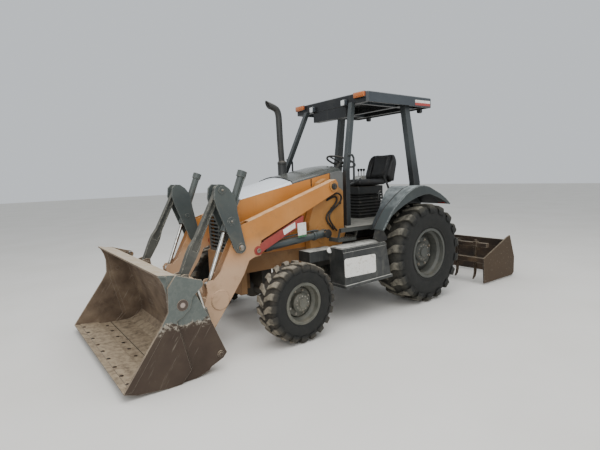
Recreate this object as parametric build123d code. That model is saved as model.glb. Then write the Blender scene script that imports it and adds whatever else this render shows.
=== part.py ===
from build123d import *
import math
import os

# All sizes are millimetres. The drawing's x runs forward from the rear axle,
# y to the left and z up from the ground. ORIGIN_X moves it to mid-length.
ORIGIN_X = 904.5

WHEELBASE = 2142
RUN = 0.3
PIN_RUN = 0.05
SWING = 6

REAR_TYRE_R = 656
REAR_TYRE_W = 480
REAR_LUG = (32, 58, 40, 18, 22)
REAR_WHEEL_Y = 791
REAR_BEAD_R = 311
REAR_FLANGE_R = 331
REAR_RIM_HALF = 200
REAR_DISC_Y = 850
REAR_DISC_T = 16
REAR_BOLT_R = 165
REAR_HUB_R = 135
REAR_HUB_OUT = 48
FRONT_TYRE_R = 421
FRONT_TYRE_W = 300
FRONT_LUG = (24, 40, 36, 22, 20)
FRONT_WHEEL_Y = 907
FRONT_BEAD_R = 203
FRONT_FLANGE_R = 221
FRONT_RIM_HALF = 122
FRONT_HUB_Y = 935
FRONT_DISC_T = 14
FRONT_BOLT_R = 120
FRONT_HUB_R = 100
FRONT_HUB_OUT = 75
RIM_WALL = 12
RIM_LIP = 12
AXLE_X = WHEELBASE
AXLE_Z = FRONT_TYRE_R
KINGPIN_Y = 700
KINGPIN_R = 20
AXLE_TUBE_R = 62
AXLE_BOWL_R = 135
SPINDLE_R = 75

ARM_Y = 565
ARM_W = 115
ARM_IN = ARM_Y - ARM_W / 2
ARM_OUT = ARM_Y + ARM_W / 2
ARM_PLATE = 13
ARM_PIVOT = (1342, 1595)
ARM_PIN_R = 35
KNEE_PIN = (2430, 960)
EYE_HALF = 39
LIFT_BASE = (1450, 1040)
LIFT_BARREL_R = 48
LIFT_ROD_R = 26
LIFT_BARREL_LENGTH = 850
CROSS_TUBE = (2877, 520)
CROSS_TUBE_R = 96
ROD_EYE = (2975, 685)
BUCKET_HINGE = (3050, 205)
LEVER_PIN = (2625, 1023)
LEVER_TOP = (2815, 1622)
BUCKET_TOP_PIN = (BUCKET_HINGE[0] + LEVER_TOP[0] - LEVER_PIN[0],
                  BUCKET_HINGE[1] + LEVER_TOP[1] - LEVER_PIN[1])
LEVER_PLATE = 21
STRUT_PIN = (2412, 963)
TRUNNION = (2725, 1304)
TILT_BARREL_R = 39
TILT_ROD_R = 20
TILT_GLAND = 555
TILT_CAP = 1203
LINK_W = 60
LINK_WEB = 16

RAIL_Y = 400
RAIL_W = 70
RAIL_TOP = 872
RAIL_BOTTOM = 685
TOWER_Y = 495
FLOOR_Z = 1110
SEAT_HALF = 250
SEAT_TOP = 2040
SEAT_CORNER = 95
SEAT_SHIFT = 55
SEAT_FOLDS = 7
FENDER_Y = 505
FENDER_OUT = 1000
BOX_IN = 700
BOX_OUT = 950
WING_Y = 950
TREAD_Z = 976
TREAD_TEETH = 12
HOOD_HALF = 380
HOOD_SKIN = 12
COWL_X = 965
HOOD_REAR = 1000
HOOD_FRONT = 2460
SEAM_X = 1475
GRILLE_SLOTS = 9
GRILLE_PITCH = 44
EXHAUST = (1500, -200)
EXHAUST_R = 34

ROOF_FRONT = 844
ROOF_REAR = -420
ROOF_HALF = 725
ROOF_TOP = 2734
ROOF_DEEP = 127
ROOF_BASE = ROOF_TOP - ROOF_DEEP
GRAB_Y = 640

BUCKET_HALF = 1068
BUCKET_SIDE = 22
CLAM_PIN = (3441, 687)
CLAM_CYL_BASE = (3110, 162)
CLAM_CYL_TOP = (3285, 845)
CLAM_CYL_Y = BUCKET_HALF - 84

BLADE_HALF = 1050
BLADE_PLATE = 20
HITCH_Y = 330
LINK_PIN = (-120, 480)
BLADE_PIN = (-1180, 420)
ROCKSHAFT = (-120, 880)
TOP_PIN = (-230, 800)
MAST_PIN = (-1235, 865)


def profile(points, y0, y1):
    face = Face(Wire.make_polygon([(x, y0, z) for x, z in points], close=True))
    return extrude(face, amount=y1 - y0, dir=(0, 1, 0))


def plan(points, z0, z1):
    face = Face(Wire.make_polygon([(x, y, z0) for x, y in points], close=True))
    return extrude(face, amount=z1 - z0, dir=(0, 0, 1))


def block(x0, x1, y0, y1, z0, z1):
    return Pos((x0 + x1) / 2, (y0 + y1) / 2, (z0 + z1) / 2) * Box(x1 - x0, y1 - y0, z1 - z0)


def bar(start, end, radius):
    start = Vector(*start)
    end = Vector(*end)
    length = (end - start).length
    place = Plane(origin=start, z_dir=end - start)
    return place * Cylinder(radius, length, align=(Align.CENTER, Align.CENTER, Align.MIN))


def across(at, y0, y1, radius):
    return bar((at[0], y0, at[1]), (at[0], y1, at[1]), radius)


def beam(start, end, deep, wide):
    start = Vector(*start)
    end = Vector(*end)
    place = Plane(origin=start, x_dir=(1, 0, 0.001), z_dir=end - start)
    length = (end - start).length
    return place * Box(deep, wide, length, align=(Align.CENTER, Align.CENTER, Align.MIN))


def turned(section, y):
    face = Face(Wire.make_polygon([(0, a, r) for a, r in section], close=True))
    return Pos(0, y, 0) * revolve(face, axis=Axis.Y)


def other_side(shape):
    return mirror(shape, about=Plane.XZ)


def both(shape):
    return shape + other_side(shape)


def along(start, end, distance):
    dx = end[0] - start[0]
    dz = end[1] - start[1]
    length = math.hypot(dx, dz)
    return (start[0] + dx * distance / length, start[1] + dz * distance / length)


def point3(at, y):
    return (at[0], y, at[1])


def save(name, shape):
    export_step(Pos(-ORIGIN_X, 0, 0) * shape, f"parts/{name}.step")


os.makedirs("parts", exist_ok=True)


# A ring built of flat facets, so that four lugged tyres stay within their share of triangles.
def facet_ring(section, sides):
    step = 2 * math.pi / sides
    faces = []
    for (y0, r0), (y1, r1) in zip(section, section[1:] + section[:1]):
        for k in range(sides):
            a = step * (k - 0.5)
            b = a + step
            corners = [
                (r0 * math.cos(a), y0, r0 * math.sin(a)),
                (r0 * math.cos(b), y0, r0 * math.sin(b)),
                (r1 * math.cos(b), y1, r1 * math.sin(b)),
                (r1 * math.cos(a), y1, r1 * math.sin(a)),
            ]
            faces.append(Face(Wire.make_polygon(corners, close=True)))
    return Solid(Shell(faces))


# One lug: its side outline drawn along the slant, with corners kept on the tyre's radius.
def lug(radius, width, crown, thick, slant, side):
    lean = math.radians(slant)
    spill = thick / 2 * math.sin(lean)
    middle = width / 4 - 2
    start = (spill + 4 - middle) / math.cos(lean)
    shoulder = (width / 2 - 26 - spill - middle) / math.cos(lean)
    end = (width / 2 - spill - middle) / math.cos(lean)

    def top(s):
        return math.sqrt(radius ** 2 - (abs(s) * math.sin(lean) + thick / 2 * math.cos(lean)) ** 2)

    drop = 0.115 * radius
    outline = [
        (start, crown - 25), (start, top(start)), (shoulder, top(shoulder)),
        (end, top(shoulder) - drop), (end - 30, crown - 1.2 * drop),
    ]
    place = Plane(origin=(0, side * middle, 0), x_dir=(-math.sin(lean), side * math.cos(lean), 0),
                  z_dir=(side * math.cos(lean), math.sin(lean), 0))
    face = Face(Wire.make_polygon([(s, r, 0) for s, r in outline], close=True))
    corner = math.atan2(abs(start) * math.sin(lean) + thick / 2 * math.cos(lean), top(start))
    return place * extrude(face, amount=thick / 2, both=True), math.degrees(corner)


# Tyres: a carcass with slanted lugs, the two rows half a pitch apart.
def tyre(radius, width, bead, half, tread):
    lug_deep, thick, slant, count, sides = tread
    w = width / 2
    crown = radius - lug_deep
    belly = bead + 0.42 * (radius - bead)
    bore = (bead + PIN_RUN) / math.cos(math.pi / sides)
    seat_half = half - 6
    section = [
        (-seat_half, bore), (-w + 6, belly), (-w + 30, crown), (w - 30, crown), (w - 6, belly),
        (seat_half, bore),
    ]
    lugs = []
    for side, shift in ((1, 0), (-1, 0.5)):
        one, corner = lug(radius, width, crown, thick, slant, side)
        lugs += [Rot(0, corner + (k + shift) * 360 / count, 0) * one for k in range(count)]
    return facet_ring(section, sides).fuse(*lugs)


# Rims: a flanged barrel with a well, a dished disc and a stepped hub, turned in one.
def rim(bead, flange, half, disc_y, disc_t, bowl_y, bolt_r, hub_r, hub_out):
    bore = bead - RIM_WALL
    well = bore - 26
    barrel = turned([
        (-half - RIM_LIP, bore), (-half - RIM_LIP, flange), (-half, flange), (-half, bead), (half, bead),
        (half, flange), (half + RIM_LIP, flange), (half + RIM_LIP, bore), (half - 45, bore),
        (half - 75, well), (bowl_y, well), (-half + 40, well), (-half + 20, bore),
    ], 0)
    disc = turned([
        (disc_y, 0), (disc_y, bolt_r + 35), (bowl_y - disc_t, well + 4), (bowl_y, well + 4),
        (disc_y + disc_t, bolt_r + 30), (disc_y + disc_t, 0),
    ], 0)
    hub = turned([(disc_y, 0), (disc_y, hub_r), (hub_out - 18, hub_r), (hub_out, hub_r - 18),
                  (hub_out, 0)], 0)
    cap = turned([(disc_y, 0), (disc_y, hub_r * 0.5), (hub_out + 14, hub_r * 0.46), (hub_out + 14, 0)], 0)
    return barrel + disc + hub + cap


rear_tyre = tyre(REAR_TYRE_R, REAR_TYRE_W, REAR_BEAD_R, REAR_RIM_HALF, REAR_LUG)
front_tyre = tyre(FRONT_TYRE_R, FRONT_TYRE_W, FRONT_BEAD_R, FRONT_RIM_HALF, FRONT_LUG)
rear_disc = REAR_DISC_Y - REAR_WHEEL_Y
front_disc = FRONT_HUB_Y - FRONT_WHEEL_Y
rear_rim = rim(REAR_BEAD_R, REAR_FLANGE_R, REAR_RIM_HALF, rear_disc, REAR_DISC_T, rear_disc - 45,
               REAR_BOLT_R,
               REAR_HUB_R, rear_disc + REAR_HUB_OUT)
front_rim = rim(FRONT_BEAD_R, FRONT_FLANGE_R, FRONT_RIM_HALF, front_disc, FRONT_DISC_T, front_disc - 20,
                FRONT_BOLT_R,
                FRONT_HUB_R, front_disc + FRONT_HUB_OUT)

# name, tyre, rim, axle x, axle height, wheel y
WHEELS = [
    ("front", front_tyre, front_rim, WHEELBASE, FRONT_TYRE_R, FRONT_WHEEL_Y),
    ("rear", rear_tyre, rear_rim, 0, REAR_TYRE_R, REAR_WHEEL_Y),
]
for name, rubber, metal, x, z, y in WHEELS:
    place = Pos(x, y, z)
    save(f"tyre_{name}_left", place * rubber)
    save(f"rim_{name}_left", place * metal)
    save(f"tyre_{name}_right", other_side(place * rubber))
    save(f"rim_{name}_right", other_side(place * metal))

# Front axle: a housing with a centre bowl, eyes for the kingpins, and a knuckle each side.
axle_tube = bar((AXLE_X, -KINGPIN_Y, AXLE_Z), (AXLE_X, KINGPIN_Y, AXLE_Z), AXLE_TUBE_R)
bowl = Pos(AXLE_X, 0, AXLE_Z) * Sphere(AXLE_BOWL_R)
eye_end = bar((AXLE_X, KINGPIN_Y, AXLE_Z - 78), (AXLE_X, KINGPIN_Y, AXLE_Z + 78), 52)
kingpin = bar((AXLE_X, KINGPIN_Y, AXLE_Z - 105), (AXLE_X, KINGPIN_Y, AXLE_Z + 105), KINGPIN_R)
axle_stop = block(AXLE_X - 60, AXLE_X + 60, -RAIL_Y + RAIL_W, RAIL_Y - RAIL_W, AXLE_Z + 50, RAIL_BOTTOM)
pivot = bar((AXLE_X - 190, 0, AXLE_Z + 90), (AXLE_X + 190, 0, AXLE_Z + 90), 60)
front_axle = axle_tube + bowl + both(eye_end) + both(kingpin) + pivot + axle_stop
save("front_axle", front_axle)

fork = block(AXLE_X - 50, AXLE_X + 50, KINGPIN_Y - 45, KINGPIN_Y + 75, AXLE_Z - 105, AXLE_Z + 105)
gap = block(AXLE_X - 80, AXLE_X + 80, KINGPIN_Y - 90, KINGPIN_Y + 62, AXLE_Z - 84, AXLE_Z + 84)
spindle = bar((AXLE_X, KINGPIN_Y + 70, AXLE_Z), (AXLE_X, FRONT_HUB_Y - RUN, AXLE_Z), SPINDLE_R)
steer_arm = block(AXLE_X - 190, AXLE_X - 40, KINGPIN_Y - 30, KINGPIN_Y + 20, AXLE_Z - 105, AXLE_Z - 84)
bore = bar((AXLE_X, KINGPIN_Y, AXLE_Z - 120), (AXLE_X, KINGPIN_Y, AXLE_Z + 120), KINGPIN_R + PIN_RUN)
knuckle = fork - gap + spindle + steer_arm - bore
save("knuckle_left", knuckle)
save("knuckle_right", other_side(knuckle))

# Rear axle: centre housing, trumpets, brake drums and hub flanges.
housing = block(-170, 190, -210, 210, REAR_TYRE_R - 190, REAR_TYRE_R + 170)
trumpet = bar((0, -600, REAR_TYRE_R), (0, 600, REAR_TYRE_R), 85)
drum = bar((0, 470, REAR_TYRE_R), (0, 620, REAR_TYRE_R), 150)
flange = bar((0, 600, REAR_TYRE_R), (0, REAR_DISC_Y - RUN, REAR_TYRE_R), REAR_HUB_R - 25)
rear_axle = housing + trumpet + both(drum) + both(flange)
rear_axle += both(block(-150, -90, 210, HITCH_Y - 24, LINK_PIN[1] - 50, REAR_TYRE_R)
                  - across(LINK_PIN, 205, 400, 15))
rear_axle += both(across(LINK_PIN, 210, HITCH_Y + 24, 20))
rear_axle += (block(-170, -70, -170, -120, 700, ROCKSHAFT[1] + 60)
              + block(-170, -70, 120, 170, 700, ROCKSHAFT[1] + 60))
rear_axle -= across(ROCKSHAFT, -400, 400, 32 + PIN_RUN)
rear_axle += block(-260, -160, -45, -30, 740, 840) + block(-260, -160, 30, 45, 740, 840)
rear_axle += across(TOP_PIN, -46, 46, 18)
save("rear_axle", rear_axle)

# Chassis rails, cross members, front bumper frame and the axle cradle.
rail = block(-60, 2500, RAIL_Y - RAIL_W, RAIL_Y, RAIL_BOTTOM, RAIL_TOP)
frame = both(rail)
for x in (320, 1250, 2400):
    frame += block(x, x + 60, -RAIL_Y, RAIL_Y, RAIL_BOTTOM, RAIL_TOP)
frame += block(2440, 2520, -RAIL_Y, RAIL_Y, 450, RAIL_TOP)
cradle = block(AXLE_X + 125, AXLE_X + 180, -160, 160, AXLE_Z + 20, RAIL_TOP - 60)
cradle += block(AXLE_X - 180, AXLE_X - 125, -160, 160, AXLE_Z + 20, RAIL_TOP - 60)
cradle += block(AXLE_X - 180, AXLE_X + 180, -RAIL_Y, RAIL_Y, RAIL_TOP - 90, RAIL_TOP - 40)
frame += cradle
frame = frame - front_axle - rear_axle
save("chassis_frame", frame)

engine = block(1330, 2250, -280, 280, 900, 1430)
gearbox = block(190, 1330, -230, 230, 560, FLOOR_Z - 40)
save("engine_and_gearbox", engine + gearbox - frame - rear_axle)

# Bonnet: flat sides and a crowned top, lofted through arched sections.
# x, shoulder height, crest height
HOOD = [
    (HOOD_REAR, 1780, 1858),
    (1183, 1754, 1840),
    (1680, 1657, 1744),
    (2050, 1583, 1632),
    (HOOD_FRONT, 1499, 1535),
]


def hood_section(x, shoulder, crest, inset):
    h = HOOD_HALF - inset
    top = crest - inset
    lift = shoulder + 0.42 * (top - shoulder)
    bend = shoulder + 0.29 * (top - shoulder)
    left = ThreePointArc((x, -h, shoulder), (x, -h + 16, bend), (x, -h + 58, lift))
    right = ThreePointArc((x, h - 58, lift), (x, h - 16, bend), (x, h, shoulder))
    crown = ThreePointArc((x, -h + 58, lift), (x, 0, top), (x, h - 58, lift))
    return Face(Wire([left, crown, right, Line((x, h, shoulder), (x, -h, shoulder))]))


hood_full = None
hood_inside = None
for a, b in zip(HOOD, HOOD[1:]):
    piece = loft([hood_section(*a, 0), hood_section(*b, 0)], ruled=True)
    hollow = loft([hood_section(*a, HOOD_SKIN), hood_section(*b, HOOD_SKIN)], ruled=True)
    hood_full = piece if hood_full is None else hood_full + piece
    hood_inside = hollow if hood_inside is None else hood_inside + hollow
hood = hood_full - hood_inside

side_line = [(x, z) for x, z, crest in HOOD[1:]]
side = side_line + [(2498, 1432), (2512, 1294), (2500, RAIL_TOP), (HOOD[1][0], RAIL_TOP)]
hood_side = profile(side, HOOD_HALF - HOOD_SKIN, HOOD_HALF)
hood_side -= block(SEAM_X - 3, SEAM_X + 3, HOOD_HALF - 5, HOOD_HALF + 1, RAIL_TOP + 60, 1720)
save("hood_sides", both(hood_side))
hood += extrude(hood_section(*HOOD[-1], 0), amount=HOOD_SKIN, dir=(-1, 0, 0)) - both(hood_side)
save("hood_top", hood)

# Nose panel: a slotted guard between two lamps.
nose = [
    (2460, 1499), (2498, 1432), (2512, 1294), (2500, RAIL_TOP), (2480, RAIL_TOP), (2492, 1294), (2480, 1428),
    (2448, 1490),
]
guard = profile(nose, -HOOD_HALF + HOOD_SKIN, HOOD_HALF - HOOD_SKIN)
for row in range(GRILLE_SLOTS):
    z = 905 + row * GRILLE_PITCH
    for y0, y1 in ((-330, -115), (-105, 105), (115, 330)):
        guard -= block(2440, 2540, y0, y1, z, z + GRILLE_PITCH - 16)
for y in (-250, 250):
    guard += block(2486, 2514, y - 75, y + 75, 1325, 1415)
save("grille", guard)

# Cowl: side and rear panels behind the bonnet, with the dash crown on top.
cowl_line = [
    (HOOD[1][0], 1754), (1085, 1772), (HOOD_REAR, 1780), (COWL_X + 8, 1750), (COWL_X, 1664),
    (COWL_X, FLOOR_Z),
    (HOOD[1][0], FLOOR_Z),
]
cowl = profile(cowl_line, -RAIL_Y, RAIL_Y)
cowl -= block(COWL_X + 15, HOOD[1][0] + 10, -RAIL_Y + 15, RAIL_Y - 15, FLOOR_Z - 1, 1740)
cowl -= block(COWL_X + 15, HOOD[1][0] + 10, -HOOD_HALF, HOOD_HALF, 1700, 1900)
cowl += profile([(HOOD_REAR, 1858 - HOOD_SKIN), (HOOD_REAR - 70, 1815), (HOOD_REAR - 50, 1700),
                 (HOOD_REAR, 1700)], -230, 230)
save("cowl", cowl - hood)

# Exhaust on the right of the bonnet, its tip curved forward.
stack = bar((*EXHAUST, 1735), (*EXHAUST, 1800), 56)
stack += bar((*EXHAUST, 1790), (*EXHAUST, 1920), 44)
stack += bar((*EXHAUST, 1910), (*EXHAUST, 2450), EXHAUST_R)
bend = TangentArc((*EXHAUST, 2450), (EXHAUST[0] + 200, EXHAUST[1], 2680), tangent=(0, 0, 1))
stack += sweep(Plane(origin=bend @ 0, z_dir=bend % 0) * Circle(EXHAUST_R), path=bend)
tip = Plane(origin=bend @ 1, z_dir=bend % 1) * Cylinder(EXHAUST_R - 4, 120)
save("exhaust_stack", stack - tip - hood_full)

# Loader towers: a boxed plate tower each side, with the arm's pivot pin and the lift cylinder's stub.
TOWER = [(1006, 1073), (1069, 1530), (1240, 1660), (1342, 1690), (1440, 1640), (1623, 1176), (1600, 700),
         (1179, 700)]
tower_face = Face(Wire.make_polygon([(x, RAIL_Y, z) for x, z in TOWER], close=True))
tower = extrude(tower_face, amount=TOWER_Y - RAIL_Y, dir=(0, 1, 0))
hollow_face = offset(tower_face, amount=-16, kind=Kind.INTERSECTION)
tower -= Pos(0, 16, 0) * extrude(hollow_face, amount=TOWER_Y - RAIL_Y - 32, dir=(0, 1, 0))
tower += across(ARM_PIVOT, RAIL_Y, ARM_Y + ARM_W / 2 + 3, ARM_PIN_R)
tower += across(ARM_PIVOT, ARM_Y + ARM_W / 2 + 3, ARM_Y + ARM_W / 2 + 18, 58)
tower += across(LIFT_BASE, TOWER_Y - 20, ARM_Y + 45, 28)
save("loader_towers", both(tower))

# Loader arms: two plates a side with webs between them, joined by the cross tube.
ARM = [
    (1299, 1678), (2613, 1245), (2724, 1065), (2868, 793), (2935, 735), (2990, 737), (3022, 700),
    (3012, 610),
    (3050, 516), (3076, 330), (3092, 222), (3076, 167), (3050, 157), (3015, 172), (2938, 268), (2756, 508),
    (2595, 734), (2526, 872), (2453, 902), (2379, 905), (2370, 1065), (1347, 1502), (1268, 1540),
    (1262, 1630),
]
arm = profile(ARM, ARM_IN, ARM_OUT)
VOID = [
    (1300, 1662), (2490, 1270), (2530, 1300), (2700, 1300), (2790, 1065), (2880, 850), (3060, 790),
    (3080, 640),
    (3070, 560), (2975, 560), (2930, 612), (2775, 560), (2612, 745), (2545, 880), (2500, 850), (2330, 850),
    (2190, 1060), (2190, 1158), (1347, 1518), (1300, 1540),
]
arm -= profile(VOID, ARM_IN + ARM_PLATE, ARM_OUT - ARM_PLATE)
arm += across(ARM_PIVOT, ARM_IN, ARM_OUT, 70)
arm -= across(ARM_PIVOT, ARM_IN - 10, ARM_OUT + 10, ARM_PIN_R + PIN_RUN)
arm += across(BUCKET_HINGE, ARM_IN, ARM_OUT, 46)
arm -= across(BUCKET_HINGE, ARM_IN - 10, ARM_OUT + 10, 22 + PIN_RUN)
arm += across(LEVER_PIN, ARM_OUT - ARM_PLATE, ARM_OUT + SWING + LEVER_PLATE + 8, 30)
arm += across(LEVER_PIN, ARM_IN - SWING - LEVER_PLATE - 8, ARM_IN + ARM_PLATE, 30)
arms = both(arm)
arms += bar((CROSS_TUBE[0], -ARM_OUT - 8, CROSS_TUBE[1]), (CROSS_TUBE[0], ARM_OUT + 8, CROSS_TUBE[1]),
            CROSS_TUBE_R)
arms -= bar((CROSS_TUBE[0], -ARM_IN, CROSS_TUBE[1]), (CROSS_TUBE[0], ARM_IN, CROSS_TUBE[1]),
            CROSS_TUBE_R - 14)
save("loader_arms", arms)

# Stored lock strut below each boom: a channel whose cheeks pass outside the arm's plates to its pin.
STRUT = [(2386, 1031), (1800, 1283), (1812, 1192), (2380, 935)]
strut = None
for y0 in (ARM_IN - 6 - RUN, ARM_OUT + RUN):
    cheek = profile(STRUT, y0, y0 + 6) + across(STRUT_PIN, y0, y0 + 6, 50)
    strut = cheek if strut is None else strut + cheek
strut += profile([(2330, 1055), (1800, 1283), (1800, 1275), (2330, 1047)], ARM_IN - 6, ARM_OUT + 6)
strut += across(STRUT_PIN, ARM_OUT + RUN, ARM_OUT + 16, 20)
save("lift_lock_strut", both(strut))


# Lift cylinders: barrel with a base eye, and rod with an end eye.
# The rod's pin stays between the arm's plates.
def lift_set(y):
    a = point3(along(LIFT_BASE, KNEE_PIN, 30), y)
    g = point3(along(LIFT_BASE, KNEE_PIN, LIFT_BARREL_LENGTH), y)
    s = point3(along(LIFT_BASE, KNEE_PIN, 58), y)
    barrel = bar(a, g, LIFT_BARREL_R - 4) + across(LIFT_BASE, y - 30, y + 30, 48)
    barrel += bar(a, point3(along(LIFT_BASE, KNEE_PIN, 130), y), LIFT_BARREL_R)
    barrel += bar(point3(along(LIFT_BASE, KNEE_PIN, LIFT_BARREL_LENGTH - 70), y), g, LIFT_BARREL_R)
    barrel -= across(LIFT_BASE, y - 60, y + 60, 28 + PIN_RUN)
    barrel -= bar(s, point3(along(LIFT_BASE, KNEE_PIN, LIFT_BARREL_LENGTH + 5), y), LIFT_ROD_R + PIN_RUN)
    shaft = bar(point3(along(LIFT_BASE, KNEE_PIN, 62), y), point3(KNEE_PIN, y), LIFT_ROD_R)
    shaft += across(KNEE_PIN, y - EYE_HALF, y + EYE_HALF, 42)
    return barrel, shaft


lift_barrel, lift_rod = lift_set(ARM_Y)
save("lift_barrels", both(lift_barrel))
save("lift_rods", both(lift_rod))

# Bucket levers: two plates that straddle each arm, joined by the top pin.
LEVER = [
    (2684, 1567), (2665, 1505), (2650, 1388), (2576, 1041), (2585, 985), (2625, 962), (2675, 975),
    (2712, 1030),
    (2728, 1088), (2772, 1192), (2873, 1449), (2897, 1539), (2885, 1640), (2845, 1680), (2790, 1675),
    (2730, 1630),
]
lever_out = profile(LEVER, ARM_OUT + SWING, ARM_OUT + SWING + LEVER_PLATE)
lever_in = profile(LEVER, ARM_IN - SWING - LEVER_PLATE, ARM_IN - SWING)
lever = lever_out + lever_in + across(LEVER_TOP, ARM_IN - SWING - 5, ARM_OUT + SWING + 5, 27)
lever_face = ARM_OUT + SWING + LEVER_PLATE
lever += across(LEVER_TOP, lever_face - 2, lever_face + 10, 34)
lever += across(LEVER_PIN, lever_face - 2, lever_face + 6, 50)
lever += across(TRUNNION, lever_face - 2, lever_face + 5, 42)
lever -= across(LEVER_PIN, 400, 720, 30 + PIN_RUN)
lever -= across(TRUNNION, 400, 720, 25 + PIN_RUN)
save("bucket_levers", both(lever))

# Tilt cylinders: trunnion barrels in the levers, rods down to the arm's nose.
g = point3(along(ROD_EYE, TRUNNION, TILT_GLAND), ARM_Y)
c = point3(along(ROD_EYE, TRUNNION, TILT_CAP), ARM_Y)
tilt_barrel = bar(g, c, TILT_BARREL_R)
tilt_barrel += bar(g, point3(along(ROD_EYE, TRUNNION, TILT_GLAND + 60), ARM_Y), TILT_BARREL_R + 5)
tilt_barrel += bar(point3(along(ROD_EYE, TRUNNION, 1140), ARM_Y), c, 50)
tilt_barrel += across(TRUNNION, ARM_IN - SWING - LEVER_PLATE - 6, ARM_OUT + SWING + LEVER_PLATE + 6, 25)
tilt_barrel -= bar(point3(along(ROD_EYE, TRUNNION, 540), ARM_Y),
                   point3(along(ROD_EYE, TRUNNION, 1180), ARM_Y),
                   TILT_ROD_R + PIN_RUN)
save("tilt_barrels", both(tilt_barrel))
tilt_rod = bar(point3(ROD_EYE, ARM_Y), point3(along(ROD_EYE, TRUNNION, 700), ARM_Y), TILT_ROD_R)
tilt_rod += across(ROD_EYE, ARM_Y - EYE_HALF, ARM_Y + EYE_HALF, 35)
save("tilt_rods", both(tilt_rod))

# Dump links from the levers' top pins to the bucket. Levers and links with the bucket make a parallelogram.
LINK_LENGTH = math.hypot(BUCKET_TOP_PIN[0] - LEVER_TOP[0], BUCKET_TOP_PIN[1] - LEVER_TOP[1])
# along the link, half depth
LINK_SHAPE = [(0, 40), (70, 30), (520, 34), (620, 52), (700, 52), (LINK_LENGTH, 34)]
LINK_POCKET = [(95, 18), (500, 22), (590, 34), (650, 30)]


def beside(distance, off):
    x, z = along(LEVER_TOP, BUCKET_TOP_PIN, distance)
    dx = (BUCKET_TOP_PIN[0] - LEVER_TOP[0]) / LINK_LENGTH
    dz = (BUCKET_TOP_PIN[1] - LEVER_TOP[1]) / LINK_LENGTH
    return (x - dz * off, z + dx * off)


def both_edges(shape):
    return [beside(s, d) for s, d in shape] + [beside(s, -d) for s, d in reversed(shape)]


link = profile(both_edges(LINK_SHAPE), ARM_Y - LINK_W / 2, ARM_Y + LINK_W / 2)
for y0, y1 in ((ARM_Y - LINK_W, ARM_Y - LINK_WEB / 2), (ARM_Y + LINK_WEB / 2, ARM_Y + LINK_W)):
    link -= profile(both_edges(LINK_POCKET), y0, y1)
link += across(LEVER_TOP, ARM_Y - LINK_W / 2, ARM_Y + LINK_W / 2, 44)
link += across(BUCKET_TOP_PIN, ARM_Y - LINK_W / 2, ARM_Y + LINK_W / 2, 40)
link -= across(LEVER_TOP, 400, 700, 27 + PIN_RUN)
link -= across(BUCKET_TOP_PIN, 400, 700, 24 + PIN_RUN)
save("dump_links", both(link))

# Four-in-one bucket: the back with its hinge ears, and the clam that swings on the two upper side pins.
BACK = [
    (3560, 22), (3351, 22), (3245, 60), (3190, 118), (3184, 180), (3245, 446), (3312, 690), (3402, 862),
    (3478, 924), (3625, 956),
]
BACK_OUT = [
    (3635, 972), (3470, 942), (3386, 874), (3292, 698), (3225, 450), (3165, 180), (3172, 112), (3227, 41),
    (3351, 3),
    (3560, 3),
]
side_y = BUCKET_HALF - BUCKET_SIDE
shell = profile(BACK + BACK_OUT, -side_y, side_y)
BACK_SIDE = [
    (3560, 3), (3380, 5), (3273, 46), (3171, 79), (3083, 118), (3046, 160), (3092, 268), (3180, 482),
    (3262, 655),
    (3350, 827), (3384, 886), (3466, 946), (3560, 958),
    (3510, 640), (3385, 110), (3480, 22), (3560, 22),
]
shell += both(profile(BACK_SIDE, side_y - 22, side_y))
ear = [
    (3200, 790), (3205, 838), (3240, 848), (3290, 835), (3350, 803), (3292, 698), (3225, 450), (3167, 180),
    (3174, 112), (3112, 118), (3050, 156), (3010, 178), (3003, 225), (3040, 300), (3120, 470), (3195, 700),
]
ear_gap = SWING + 2
for y0 in (ARM_IN - ear_gap - 18, ARM_OUT + ear_gap):
    shell += both(profile(ear, y0, y0 + 18))
shell += both(across(BUCKET_HINGE, ARM_IN - ear_gap - 20, ARM_OUT + ear_gap + 20, 22))
shell += both(across(BUCKET_TOP_PIN, ARM_IN - ear_gap - 20, ARM_OUT + ear_gap + 20, 24))
CYL_LUG = [(3200, 330), (3167, 180), (3174, 112), (3120, 110), (3076, 136), (3066, 172), (3084, 202),
           (3140, 240)]
shell += both(profile(CYL_LUG, CLAM_CYL_Y - 50, CLAM_CYL_Y - 36))
shell += both(across(CLAM_CYL_BASE, CLAM_CYL_Y - 52, BUCKET_HALF - 4, 18))
shell += both(across(CLAM_CYL_BASE, side_y - 2, BUCKET_HALF - 12, 30))
shell += both(across(CLAM_PIN, side_y - 24, BUCKET_HALF + 3, 22))
shell += profile([(3560, 941), (3632, 955), (3632, 972), (3590, 965), (3560, 952)], -BUCKET_HALF + 1,
                 BUCKET_HALF - 1)
for y in (-860, 0, 860):
    shell += profile([(3440, 918), (3386, 874), (3292, 698), (3225, 450), (3198, 330), (3194, 470),
                      (3262, 712), (3366, 902)], y - 9, y + 9)
save("bucket_back", shell)

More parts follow.
